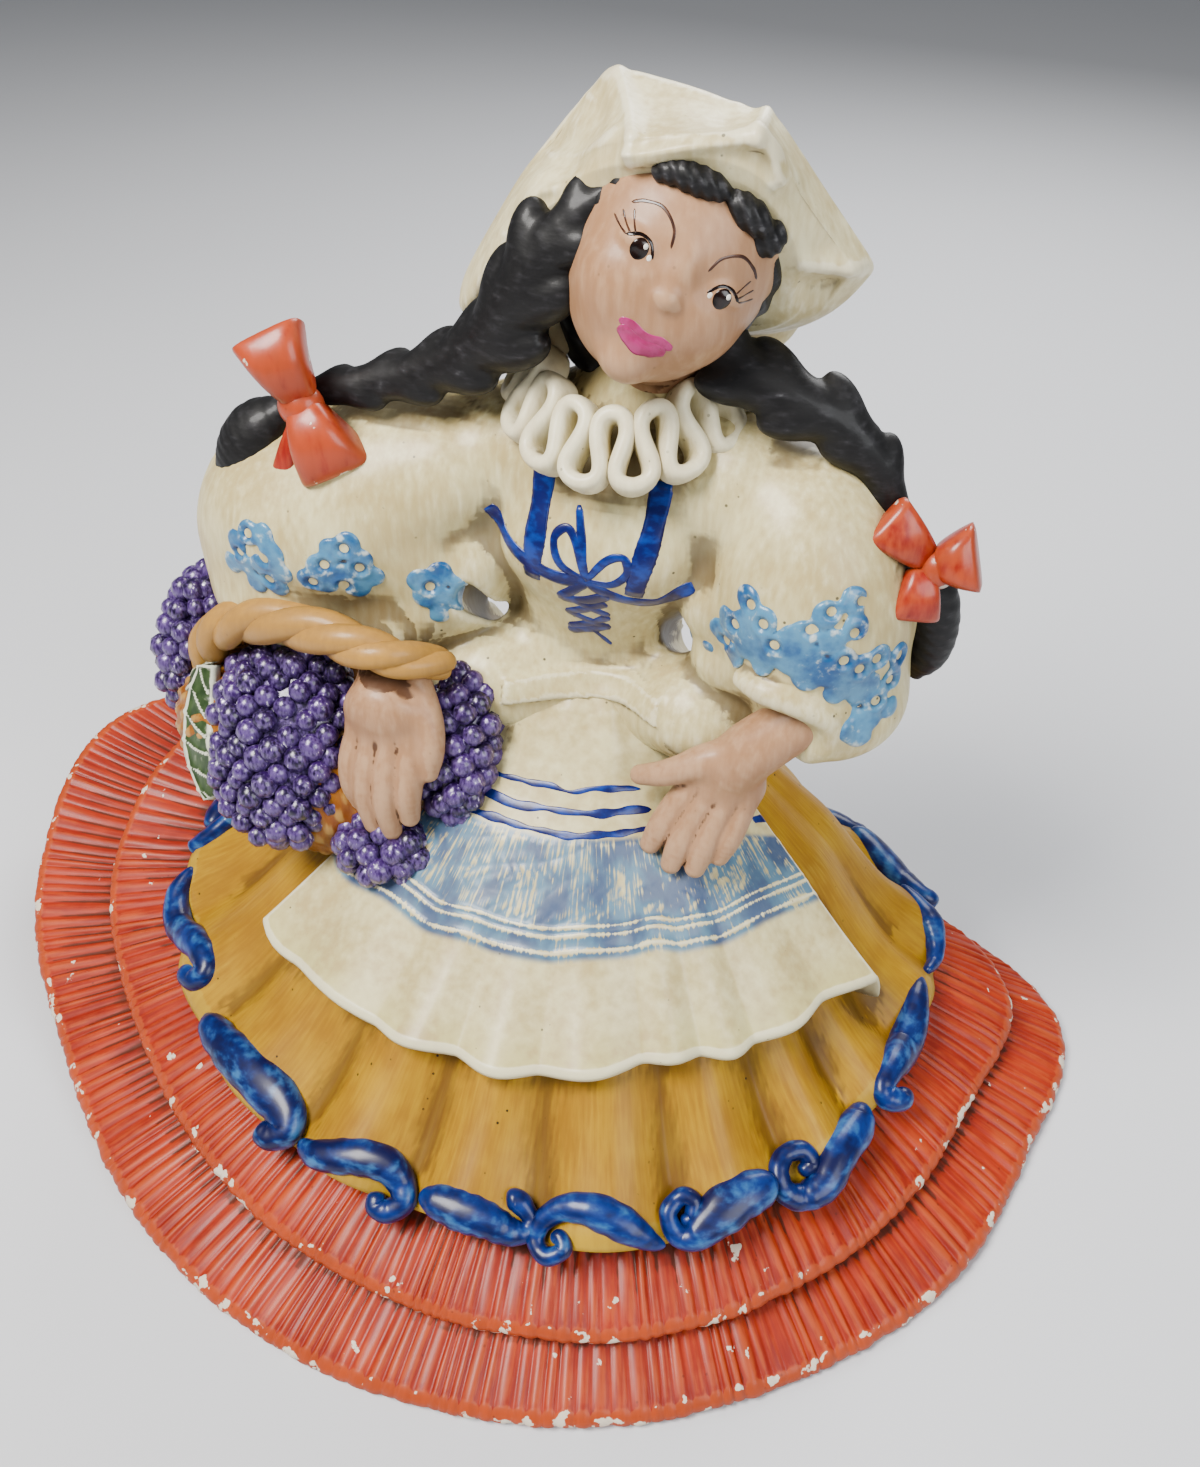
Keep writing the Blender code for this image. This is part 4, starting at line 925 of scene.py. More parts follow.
# Her head: cast skin-coloured, with the face of a plain doll painted on by hand: dark oval eyes with a white
# glint, thin brows, lashes and pink lips. The head leans to her left and turns a little.
HEAD_AT = (15.5, -9, 202.3)
HEAD_TURN = np.array(Matrix.Rotation(math.radians(14), 3, "Z") @ Matrix.Rotation(math.radians(30), 3, "Y")
                     @ Matrix.Rotation(math.radians(-8), 3, "X"))


def on_head(point):
    """From the head's own frame (her left, back, up) to hers."""
    return np.asarray(point, float) @ HEAD_TURN.T + np.asarray(HEAD_AT)


def head_local(p):
    """The soft egg of the skull with jaw, cheeks, brow, nose, lips and chin, in the head's own frame."""
    whole = egg(p, (0, 1, 2), (17.3, 17, 18))
    whole = melt(whole, egg(p, (0, -3.2, -8.2), (12.2, 12.6, 11.8)), 7)
    for side in (-1, 1):
        whole = melt(whole, egg(p, (6.6 * side, -9.4, -4.4), (6.2, 5.6, 6.0)), 5)
        whole = dig(whole, egg(p, (7.4 * side, -17.6, 2.4), (4.0, 2.0, 2.2)), 2.4)
        whole = melt(whole, egg(p, (7.4 * side, -12.4, 1.8), (3.7, 3.3, 2.2)), 1.2)
    whole = melt(whole, egg(p, (0, -14.4, 0.6), (1.5, 1.8, 4.4)), 2.4)
    whole = melt(whole, egg(p, (0, -16.2, -2.9), (1.8, 1.9, 1.4)), 1.9)
    for side in (-1, 1):
        whole = melt(whole, egg(p, (1.6 * side, -15.8, -3.1), (1.2, 1.4, 1.0)), 0.9)
    whole = melt(whole, egg(p, (0, -11.6, -15.4), (4.2, 4.0, 3.8)), 3.0)
    lips = (-1.9, -9.5, 2.8, 0.9, -12), (1.9, -9.5, 2.8, 0.9, 12), (0, -11.2, 3.3, 1.2, 0)
    for x, z, wide, tall, lean in lips:
        whole = melt(whole, egg(p, (x, -14.5, z), (wide, 1.5, tall), (0, lean, 0)), 0.8)
    return whole


def in_head(p):
    """Points in the head's own frame."""
    return (p - np.asarray(HEAD_AT, np.float32)) @ HEAD_TURN.astype(np.float32)


def head_and_neck(p):
    return melt(head_local(in_head(p)), rod(p, [(8, -1, 168), (11, -2, 178), (15, -5, 190)], [11, 9, 9.5]), 3)


SKIN = brushed("skin_paint", shade(200, 163, 131), shade(188, 148, 114), shade(228, 198, 166), wash=0.85,
               pale_ridges=0.25, specks=0.25, roughness=0.44, coat=0.12, bump=0.05)
piece("head", [cast(head_and_neck, (-8, -32, 168), (46, 14, 226), 0.5)], SKIN)


def on_face(across, up):
    """A point of the face by its place across and up in the head's frame, met first from the front."""
    return on_head(seen_from_front(head_local, across, up, -30.0))


def flat_paint(name, colour, deep, roughness=0.3):
    """A small spot of brushed paint, a little uneven."""
    p = Paint(name, roughness, 0.4)
    p.set(base_color=p.mix(p.noise(500, 4).between(0.4, 0.65), colour, deep))
    return p.material


def spot(centre, wide, tall, proud):
    """An oval dab of paint: a closed lens laid on the face, by its centre across and up."""
    angle = np.linspace(0, 2 * math.pi, 28, endpoint=False)
    rings = []
    for size, height in ((0.02, proud), (0.4, proud * 0.92), (0.75, proud * 0.7), (0.95, proud * 0.25),
                         (1.0, -0.05), (0.8, -0.4), (0.02, -0.4)):
        x, z = centre[0] + wide * size * np.cos(angle), centre[1] + tall * size * np.sin(angle)
        place = on_face(x, z)
        step = 0.25
        right = on_face(x + step, z) - place
        up = on_face(x, z + step) - place
        rings.append(place + unit(np.cross(right, up)) * height)
    return grid(np.stack(rings))


def face_stroke(points, half, first=0.3, last=0.2, proud=0.07):
    return stroke(points, half, first, last, 8, on_face, proud)


def eye_paint():
    """Dark brown ovals with a lid line, three lashes at each outer corner, and thin arched brows."""
    dark, brown = [], []
    for side in (-1, 1):
        dark.append(spot((7.6 * side, 1.3), 1.5, 1.75, proud=0.10))
        lid = [(5.0 * side, 1.0), (6.4 * side, 2.9), (8.4 * side, 3.2), (10.4 * side, 2.0)]
        dark.append(face_stroke(lid, 0.3))
        for out, up, far, high in ((9.2, 2.9, 10.8, 5.4), (9.9, 2.5, 12.2, 4.3), (10.4, 2.0, 13.0, 3.0)):
            brown.append(face_stroke([(out * side, up), ((out + far) / 2 * side, (up + high) / 2 - 0.2),
                                      (far * side, high)], 0.2, 0.6, 0.25))
        brown.append(face_stroke([(3.4 * side, 3.8), (4.4 * side, 6.4), (7.2 * side, 8.0), (10.0 * side, 7.2),
                                  (11.6 * side, 5.9)], 0.32, 0.25, 0.2))
    return dark, brown


DARK_EYE, BROWN_LINE = eye_paint()
piece("eyes", DARK_EYE, flat_paint("eye_paint", shade(34, 22, 18), shade(56, 34, 24), 0.2))
BROW_PAINT = flat_paint("brow_paint", shade(84, 56, 44), shade(110, 78, 60))
piece("brows_and_lashes", BROWN_LINE, BROW_PAINT)
GLINTS = [spot((7.6 * side + 0.7, 2.1), 0.42, 0.5, proud=0.2) for side in (-1, 1)]
GLINTS += [spot((5.6 * side, 0.9), 0.4, 0.5, proud=0.06) for side in (-1, 1)]
WHITE_DOT = flat_paint("white_dot", shade(238, 234, 226), shade(220, 214, 204))
piece("eye_glints", GLINTS, WHITE_DOT)
LIPS = [face_stroke([(-4.9, -9.4), (-2.6, -9.0), (0, -9.6), (2.6, -9.0), (4.9, -9.4)], 0.9, 0.2, 0.2, 0.1),
        face_stroke([(-4.2, -10), (-2, -11.2), (0, -11.7), (2, -11.2), (4.2, -10)], 1.4, 0.3, 0.3, 0.12),
        face_stroke([(-3.4, -10.1), (0, -10.6), (3.4, -10.1)], 0.7, 0.5, 0.5, 0.12)]
piece("lips", LIPS, flat_paint("lip_paint", shade(206, 76, 144), shade(190, 60, 124), 0.32))

# Her hair: black plaits that come from under the cloth on both sides, with two flat locks on the brow and a
# tuft below each bow, cast with the head. Pale grey is dragged over the raised hair, and also stands for a
# painted sheen.
RIGHT_PLAIT = [(7.4, -13.5, 214.5), (3.6, -15, 211.5), (-0.4, -15.5, 207.5), (-5, -15.2, 201.8),
               (-9, -14.5, 194.6), (-15, -13.2, 186.4), (-23, -12.4, 180.6), (-33.5, -12, 175.8),
               (-45, -13, 172.6), (-52, -14, 171)]
LEFT_PLAIT = [(23, -8, 189), (29.7, -9, 184), (37.4, -9, 180.6), (46.3, -8, 176.6), (53.4, -7, 169.4),
              (58.6, -7, 160)]


def plait(path, thick, lobes, facing):
    """A field for a thick plait: long lobes of hair, set to the left and the right by turns, that lap over
    each other and run slanting down its line."""
    rows = smooth_path(np.column_stack([path, thick]), 22)
    length = np.concatenate([[0], np.cumsum(np.linalg.norm(np.diff(rows[:, :3], axis=0), axis=1))])
    forms = []
    for k, at in enumerate((np.arange(lobes) + 0.5) / lobes * length[-1]):
        here = [np.interp(at, length, rows[:, i]) for i in range(4)]
        ahead = unit(np.array([np.interp(at + 1, length, rows[:, i]) - here[i] for i in range(3)]))
        side = unit(np.cross(ahead, facing)) * (1 if k % 2 else -1)
        half = here[3]
        out = unit(np.cross(ahead, side)) * (1 if k % 2 else -1)
        long = unit(ahead * 0.86 - side * 0.5)
        flat = unit(np.cross(out, long))
        frame_of_lobe = np.stack([long, flat, np.cross(long, flat)], axis=1).astype(np.float32)
        centre = np.array(here[:3]) + side * half * 0.32 - ahead * half * 0.1
        radii = np.float32([half * 1.2, half * 0.6, half * 0.62])
        forms.append((centre.astype(np.float32), frame_of_lobe, radii))

    def field(p):
        whole = rod(p, path, np.asarray(thick) * 0.74, steps=2)
        for centre, turned, radii in forms:
            local = (p - centre) @ turned
            first = np.linalg.norm(local / radii, axis=-1)
            away = first * (first - 1) / np.maximum(np.linalg.norm(local / radii**2, axis=-1), 1e-6)
            whole = melt(whole, away, 1.2)
        return whole
    return field


def hair_cap(p):
    """The hair under the cloth, a shell round the skull, and the fill behind the plaits."""
    local = in_head(p)
    whole = egg(local, (0, 3.6, 3.2), (18.9, 17, 18.2))
    whole = melt(whole, egg(p, (5, 3, 185), (14, 11, 13), (0, 20, 0)), 5)
    return whole + 0.28 * np.cos(local[..., 2] * 1.3 + local[..., 0] * 0.8)


def black_paint():
    """Black with soft grey dragged in streaks over whatever is raised, partly a painted sheen, brighter grey
    painted highlights on the tops, and near black painted shade in hollows and seams.
    """
    p = Paint("black_paint", 0.5, 0.12)
    hollow, seam_shade = p.marks("hollow", "seam_shade")
    streak, mottle = p.noise(900, 4, stretch=(0.35, 0.6, 1)), p.noise(500, 5)
    # Grey over raised hair: dry-brushed paint and a painted sheen.
    dragged = ((0 - hollow) * 0.25 + streak * 1.1 + mottle * 0.4 - 0.6).between(0.15, 0.6)
    tone = p.mix(dragged * 0.6, shade(30, 29, 30), shade(70, 69, 72))
    # Brighter grey on raised tops: painted highlights.
    grey_highlights = (streak + mottle * 0.5 + (0 - hollow) * 0.2).between(1.0, 1.2) * 0.35
    tone = p.mix(grey_highlights, tone, shade(130, 130, 132))
    # Near black in hollows and seams: painted shade.
    tone = p.mix((hollow + seam_shade * 1.2 - 0.2).between(0, 0.6) * 0.8, tone, shade(12, 12, 13))
    p.set(base_color=tone, roughness=0.44 + mottle * 0.3)
    p.bump(0.2, streak * 0.7 + mottle * 0.5, 0.6)
    return p.material


BLACK = black_paint()
piece("hair_cap", [cast(hair_cap, (-14, -30, 170), (46, 22, 226), 0.8)], BLACK)


def tuft_end(points, half, seed):
    """A rounded brush of hair with fine grooves that run along it."""
    middle = np.asarray(points, float).mean(axis=0)

    def field(p):
        turn = np.arctan2(p[..., 2] - middle[2] + 0.6 * (p[..., 0] - middle[0]), p[..., 1] - middle[1] + 30)
        return rod(p, points, half) + 0.07 * np.cos(turn * 60 + seed + 0.25 * p[..., 0])
    return field


def brow_lobes(p):
    """Two flat locks that lie on the brow just under the cloth."""
    local = in_head(p)
    whole = melted(local, egg(local, (-4.4, -11.6, 13.8), (5.8, 3.0, 2.5), (0, -8, 0)),
                   ((-8.6, -10.4, 12.6), (3.0, 2.6, 2.0), 1.0, (0, -30, 0)),
                   ((5.0, -11.4, 13.6), (4.6, 3.0, 2.6), 0.5, (0, 10, 0)),
                   ((9.8, -9.6, 11.8), (3.0, 2.8, 3.2), 0.7, (0, 30, 0)))
    return whole + 0.14 * np.cos(local[..., 0] * 2.4 + local[..., 2] * 3.2)


RIGHT_HALF, LEFT_HALF = (2.4, 3.9, 5.4, 7.2, 8.2, 8.0, 6.8, 5.6, 4.6, 3.6), (5.0, 6.6, 6.8, 6.2, 5.2, 3.6)
RIGHT_TUFT = [(-62, -12, 164), (-68, -12, 158), (-71, -11.5, 150), (-70, -11, 143.5)]
LEFT_TUFT = [(62, -5, 152), (66.5, -4, 145), (68.5, -3, 137), (68.5, -2, 129), (67, -1, 123)]
PLAITS = [
    cast(plait(RIGHT_PLAIT, RIGHT_HALF, 14, (0, -0.8, 0.6)), (-62, -30, 158), (20, 4, 224), 0.75),
    cast(plait(LEFT_PLAIT, LEFT_HALF, 8, (0.2, -0.8, 0.6)), (14, -24, 144), (72, 6, 200), 0.75),
    cast(tuft_end(RIGHT_TUFT, (3.5, 7.2, 7.6, 5.0), 0.6), (-84, -24, 134), (-54, 0, 174), 0.7),
    cast(tuft_end(LEFT_TUFT, (3.5, 4.6, 4.8, 4.2, 2.0), 0.8), (56, -14, 116), (78, 6, 160), 0.6),
]
piece("plaits", PLAITS, BLACK)
piece("brow_curls", [cast(brow_lobes, (-8, -34, 198), (42, 4, 228), 0.5)], BLACK)

# The headcloth: a stiff folded cloth over her crown, cast with a bright panel above the brow, a hollow at
# its right and a rolled edge, and painted cream. It starts as a cage of points, from brow to nape.
CLOTH_ROWS = (
    ((-29, -1, 180), (-17, -8, 198.6), (-5, -14.5, 211), (8.5, -16.5, 216), (20, -17.5, 219),
     (31, -15.5, 217.5), (38, -9, 205), (35.5, -3, 188)),
    ((-30.5, -0.5, 180.3), (-18.8, -5.5, 199.4), (-6.4, -13, 213.2), (7.3, -17.2, 218.6),
     (18.4, -19.6, 222), (31, -16.4, 221), (41, -7.5, 204.6), (37.2, -1, 187.6)),
    ((-32, 1, 180.5), (-20.6, -2, 200), (-8.4, -8.5, 214.6), (6, -15.5, 221.4), (17.5, -20, 225.2),
     (31, -15.4, 224.6), (45, -5, 202.6), (38.4, 1, 187)),
    ((-35.5, 4, 178.5), (-23.5, 4, 197.5), (-12, 2.5, 215.4), (1, 0, 228.6), (15.5, -2, 227.4),
     (30.5, -4, 224.4), (48.5, 1, 201), (38.5, 4, 185)),
    ((-33, 15, 176), (-23, 18, 193), (-11, 20, 208), (2, 19, 220), (16, 18, 220), (28, 17, 214),
     (38, 15, 196), (34, 13, 182)),
    ((-29, 17, 168), (-20, 20, 171), (-10, 22, 172), (2, 22, 174), (14, 22, 174), (24, 20, 174),
     (33, 17, 174), (32, 14, 175)),
)
# The cloth's folds are drawn as they are seen from in front and above: each row is a line of places across
# and up (mm, on a sheet held DRAWN_AWAY), then how far it is raised or, below nought, sunk, and its half
# width.
DRAWN_AWAY = 215
DRAWN_FROM = np.array((71.07, -218.74, 281.0))
AHEAD = unit(np.array((-0.2367, 0.7286, -0.6428)))
ACROSS = unit(np.cross(AHEAD, (0, 0, 1)))
UPWARD = np.cross(ACROSS, AHEAD)
CLOTH_FOLDS = (
    (((3.0, 108.4), (3.9, 106.0), (5.0, 101.4), (5.5, 96.0)), 1.3, 1.5),
    (((5.4, 95.0), (13.2, 96.6), (20.4, 97.6), (25.4, 98.0), (28.0, 95.8), (29.4, 91.4)), 1.5, 1.5),
    (((27.4, 102.4), (25.6, 98.4)), 1.0, 1.3),
    (((34.0, 77.4), (38.6, 76.6), (42.2, 76.4)), 1.0, 1.4),
    (((-2.4, 105.0), (-11.0, 90.0), (-20.6, 72.6), (-25.4, 66.4)), 1.0, 1.7),
    (((6.6, 110.0), (13.2, 108.4), (23.2, 105.2)), 0.7, 1.6),
    (((-2.4, 103.0), (-6.4, 96.4)), -2.0, 4.2),
    (((-6.0, 97.6), (-13.0, 84.0)), -0.9, 2.6),
    (((-8.6, 96.0), (-2.4, 97.0), (2.6, 99.6)), 0.6, 1.1),
    (((-14.4, 82.4), (-10.6, 88.6), (-8.0, 89.8)), 0.6, 1.1),
    (((10.0, 103.4), (20.0, 102.2)), -0.9, 3.6),
    (((33.0, 88.0), (37.0, 80.6)), -0.9, 3.0),
    (((34.6, 72.6), (38.4, 73.2)), -1.5, 2.4),
)


def listed(items, key, wide=1, kind=np.float32):
    """One value of each item in a mesh's list, as rows that are wide numbers long."""
    values = np.empty(len(items) * wide, kind)
    items.foreach_get(key, values)
    return values.reshape(-1, wide) if wide > 1 else values


def raised(points, normals, folds):
    """The points moved out or in along their normals beside the drawn lines, where they face the front."""
    local = points - DRAWN_FROM
    flat = np.stack([local @ ACROSS, local @ UPWARD], axis=-1) / (local @ AHEAD)[:, None] * DRAWN_AWAY
    facing = np.clip(-(normals @ AHEAD) * 2.5, 0, 1)
    moved = np.zeros(len(points))
    for line, high, half in folds:
        line = smooth_path(line, 6)
        near = np.full(len(points), 1e9)
        for start, end in zip(line[:-1], line[1:]):
            along_line = end - start
            share = np.clip((flat - start) @ along_line / (along_line @ along_line), 0, 1)[:, None]
            near = np.minimum(near, np.linalg.norm(flat - start - share * along_line, axis=1))
        moved += high * np.exp(-(near / half) ** 2)
    return points + normals * (moved * facing)[:, None]


def headcloth():
    """A cage of six rows from brow to nape, closed by a fan inside the head, then rounded by subdivision
    with its fold lines kept crisp."""
    rows = np.array(CLOTH_ROWS, float)
    count, wide = rows.shape[:2]
    places = np.concatenate([rows.reshape(-1, 3), [(2, -2, 186)]]) * MM
    index = np.arange(count * wide).reshape(count, wide)
    faces = np.stack([index[:-1, :-1], index[:-1, 1:], index[1:, 1:], index[1:, :-1]], axis=-1)
    faces = faces.reshape(-1, 4).tolist()
    rim = [*index[::-1, 0], *index[0, 1:], *index[1:, -1], *index[-1, -2:0:-1]]
    faces += [[int(a), count * wide, int(b)] for a, b in zip(rim, rim[1:] + rim[:1])]
    mesh = bpy.data.meshes.new("headcloth")
    mesh.from_pydata(places.tolist(), [], faces)
    along_rows = {0: 0.7, 1: 0.5, 2: 0.85, 3: 0.85}
    sharp = {frozenset((r * wide + i, r * wide + i + 1)): value for r, value in along_rows.items()
             for i in range(wide - 1)}
    for column, value in ((3, 0.85), (5, 0.8), (6, 0.75)):
        sharp[frozenset((2 * wide + column, 3 * wide + column))] = value
    crease = mesh.attributes.new("crease_edge", "FLOAT", "EDGE")
    for edge in mesh.edges:
        crease.data[edge.index].value = sharp.get(frozenset(edge.vertices), 0.0)
    corner = mesh.attributes.new("crease_vert", "FLOAT", "POINT")
    for point, value in ((3 * wide + 3, 0.6), (3 * wide + 6, 0.8)):
        corner.data[point].value = value
    cage = bpy.data.objects.new("cage", mesh)
    bpy.context.scene.collection.objects.link(cage)
    rounding = cage.modifiers.new("rounding", "SUBSURF")
    rounding.levels = rounding.render_levels = 5
    fine = bpy.data.meshes.new_from_object(cage.evaluated_get(bpy.context.evaluated_depsgraph_get()))
    bpy.data.objects.remove(cage, do_unlink=True)
    points, normals = (listed(fine.vertices, key, 3).astype(float) for key in ("co", "normal"))
    corners = listed(fine.loops, "vertex_index", kind=np.int32)
    return {"places": raised(points / MM, normals, CLOTH_FOLDS), "quads": corners.reshape(-1, 4),
            "fans": np.zeros((0, 3), int), "marks": {}}


CLOTH_PAINT = brushed("headcloth_cream", shade(240, 232, 194), shade(216, 200, 154), shade(250, 246, 226),
                      wash=0.7, pale_ridges=0.4, specks=0.7)
piece("headcloth", [headcloth()], CLOTH_PAINT)

# The ruff: a clay ribbon set on edge round her neck in deep S folds, pressed on before firing, painted cream,
# with brown wash and painted shade in every loop.


def ruff():
    """The ribbon's middle line swings in and out as it goes round, and leans back on itself to make the
    loops; its section is a tall bar with rounded edges that stands out from the neck."""
    share = np.linspace(0, 1, 420)
    wave = share * 8.5 * 2 * math.pi
    degrees = -108 + 216 * share + 5.2 * np.sin(2 * wave)
    out = np.cos(wave)
    way = turn_towards(degrees)
    front = np.cos(np.radians(degrees))
    reach = 17.8 + 3.6 * out
    line = np.column_stack([6.9 + way[:, 0] * reach, -3 + way[:, 1] * reach, 178.5 - 7 * front - 5.2 * out])
    facing = unit(np.column_stack([way[:, 0] * 0.8, way[:, 1] * 0.8, 0.55 + 0.1 * front]))
    return swept(line, 1.6, 3.4, facing, 16, 2.8)


piece("ruff", [ruff()], CLOTH_PAINT)

# The lace on both sleeves: relief pressed into the clay, scalloped leaves of small discs with an eyelet in
# each, painted blue and dragged with cream. It is a thin skin over the sleeves, cut out round its discs:
# each leaf is given by the centres of its discs and then of its eyelets.
LACE_DISC, LACE_HIGH, LACE_SKIN = 2.7, 0.55, 2.4


def lace_on(discs, eyelets):
    """A field: the body's surface raised inside the joined discs, with a dished eyelet and a raised ring at
    each of the other points. The outline wavers a little with the distance from them."""
    def field(p):
        inside = None
        for disc in discs:
            one = np.linalg.norm(p - np.asarray(disc, np.float32), axis=-1) - LACE_DISC
            inside = one if inside is None else melt(inside, one, 1.2)
        near = np.full(p.shape[:-1], 9.0, np.float32)
        for eyelet in eyelets:
            near = np.minimum(near, np.linalg.norm(p - np.asarray(eyelet, np.float32), axis=-1))
        ring, dish = np.exp(-(((near - 2.1) / 0.55) ** 2)), np.exp(-((near / 1.3) ** 2))
        surface = body(p) - LACE_HIGH - 0.25 * ring + 0.95 * dish
        shell = np.maximum(surface, -(surface + LACE_SKIN))
        return -melt(-shell, -(inside + 0.1 * np.cos(near * 2)), 0.8)
    return field


LACE_LEFT = (
    ((36.5, -25.2, 149.6), (32.8, -23.5, 143), (31, -21.6, 138.6), (36, -26, 144.5), (40, -27.2, 147),
     (41.5, -28, 142), (37, -27, 140), (34, -24.5, 135.5), (40, -28, 137.5), (44, -29, 141),
     (47, -28.6, 146), (50.5, -26.8, 149.8), (54.5, -23.8, 151.8), (55.6, -24.6, 147), (52, -27, 144.6),
     (48, -28.6, 141.5), (54.5, -26.8, 140.8), (58, -24.6, 138.8), (60.6, -22.2, 139.6),
     (63.6, -18, 137.8), (63.4, -19, 133.4), (61, -22, 130.2), (56.6, -25.8, 134.6), (52.2, -28, 137.5),
     (59.6, -23.6, 134), (60, -22.6, 126), (62.6, -19, 126.6), (24.5, -10.9, 130.4),
     (28.9, -16.7, 132.5), (33.5, -24.6, 141.7), (36.6, -26.6, 139.2), (39.4, -27.9, 143.4),
     (42.5, -28.7, 141.2), (45, -28.9, 144.5), (45.5, -28.9, 139.3), (48.1, -28.8, 141.8),
     (48.6, -28.3, 136.4), (51.2, -28, 139), (53.8, -25.9, 133.1), (54.1, -26.5, 136.8),
     (56.7, -22.2, 127.5), (57.2, -23.2, 131.8), (59.3, -23, 125.6), (59.7, -19.9, 127.6),
     (56.7, -25.3, 124.3), (59.2, -24.8, 122.8)),
    ((37.1, -26.2, 148.8), (34.2, -25.3, 143.2), (39.8, -27.8, 146.1), (32.4, -23, 137.6),
     (42.3, -28.6, 142.6), (48.3, -28.1, 147), (51.2, -26.2, 150.3), (55.7, -22.9, 151.3),
     (55.6, -25.1, 145.9), (54.7, -26.7, 140.6), (57.6, -25, 138.1), (60.2, -22.7, 139.4),
     (63.9, -17.8, 137.6), (63.2, -19.6, 133), (61.1, -21.9, 129.4)),
)
LACE_RIGHT = (
    ((-67, -28, 143), (-63.5, -28.6, 146.2), (-60, -29.4, 146.4), (-58, -30, 143), (-57, -30, 139),
     (-66, -27.8, 138.5), (-61.5, -29, 139.5), (-64, -27.8, 134.4), (-59, -29, 135), (-69.5, -26, 137),
     (-42.4, -27.6, 147), (-45.5, -28.6, 145.4), (-48.3, -29.6, 142), (-50.8, -30, 138.6),
     (-40.4, -27, 143.4), (-39, -26, 139.4), (-43.8, -28, 140.2), (-47.6, -29.3, 137.8),
     (-42, -26.6, 136.6), (-30, -22.9, 138.2), (-26.6, -20.9, 139.3), (-24.1, -19, 137),
     (-29.2, -22.7, 134.7), (-25.9, -20.7, 134.8), (-23.9, -18.7, 132.5), (-27.4, -20.7, 130.4),
     (-26.9, -16.7, 125.1)),
    ((-63.6, -28.7, 146), (-60.2, -30, 141.6), (-66.4, -28, 141), (-60.3, -29.2, 136.2),
     (-43.1, -27.9, 146), (-47.2, -29.2, 142.3), (-40.7, -27.2, 141.6), (-50.1, -29.8, 138),
     (-44.2, -28, 137.4), (-28.3, -22.3, 136.8), (-25.2, -20.1, 136.5)),
)


def lace_blue():
    """Blue over cream: strong in the ground, rubbed off the rings, darker blue in the hollows as painted
    shade, and brown in the eyelets as wash and painted shade.
    """
    p = Paint("lace_blue", 0.34, 0.4)
    hollow, mottle, cloud = p.mark("hollow"), p.noise(480, 5), p.noise(130, 4)
    tone = p.mix((cloud + mottle * 0.4).between(0.5, 0.85), shade(48, 112, 168), shade(112, 168, 200))
    rubbed = ((0 - hollow) * 0.2 + mottle * 2.2 - 1.2).between(0.1, 0.5) * 0.6
    tone = p.mix(rubbed, tone, shade(222, 222, 208))
    # Darker blue in hollows: painted shade.
    tone = p.mix(hollow.between(0.15, 0.7) * 0.7, tone, shade(30, 70, 118))
    # Brown in the eyelets: wash and painted shade.
    tone = p.mix((hollow * 1.5 + mottle * 0.3 - 0.75).between(0.1, 0.9) * 0.75, tone, shade(92, 74, 54))
    p.set(base_color=tone)
    p.bump(0.12, mottle)
    return p.material


LACE = [cast(lace_on(*LACE_LEFT), (22, -36, 116), (72, -8, 158), 0.42),
        cast(lace_on(*LACE_RIGHT), (-76, -36, 122), (-18, -8, 152), 0.42)]
piece("sleeve_lace", LACE, lace_blue())

# Her hands: cast with the sleeves, skin-coloured; four fingers lie side by side with a thumb, and brown wash
# and painted shade stay between them. The left one rests on the apron, the right one holds the grapes through
# the handle.


def hand(p, forearm, fingers, thumb):
    """A forearm that flattens into a palm, four fingers barely melted into each other, and a thumb: each is
    a path and its radii."""
    whole = rod(p, *forearm)
    row = None
    for finger in fingers:
        one = rod(p, *finger)
        row = one if row is None else melt(row, one, 0.5)
    whole = melt(whole, row, 1.8)
    return melt(whole, rod(p, *thumb), 1.4)


def left_hand(p):
    fingers = [
        [(29.5, -27.5, 105), (26.4, -29.4, 100), (23.6, -31.4, 94.6), (21.6, -32.6, 90)],
        [(32.5, -28.4, 104), (30, -30.4, 98.5), (28, -32.8, 92.6), (26.6, -34.4, 87.4)],
        [(36, -28, 104), (34.4, -30.2, 98.5), (32.8, -32.6, 92.6), (31.6, -34, 87.4)],
        [(39, -26.2, 104.6), (38.4, -28.4, 99.4), (37.2, -30.6, 94.4), (36, -31.8, 90.2)],
    ]
    thumb = [(38, -25.5, 114), (30.5, -28.6, 111.4), (23.5, -29.5, 107.4), (18, -29, 105)]
    forearm = [(55, -17, 127), (49.5, -21.5, 123.5), (44, -24.4, 119), (38.5, -26, 113.4), (34.5, -26, 106.5)]
    fingers = [(finger, (3.3, 3.1, 2.9, 2.2)) for finger in fingers]
    whole = hand(p, (forearm, (5.8, 6.0, 5.8, 6.0, 5.0)), fingers, (thumb, (3.4, 3.1, 2.7, 2.1)))
    return melt(whole, egg(p, (34.5, -26.5, 106.5), (8.6, 4.4, 9.2), (14, -8, 0)), 2.0)


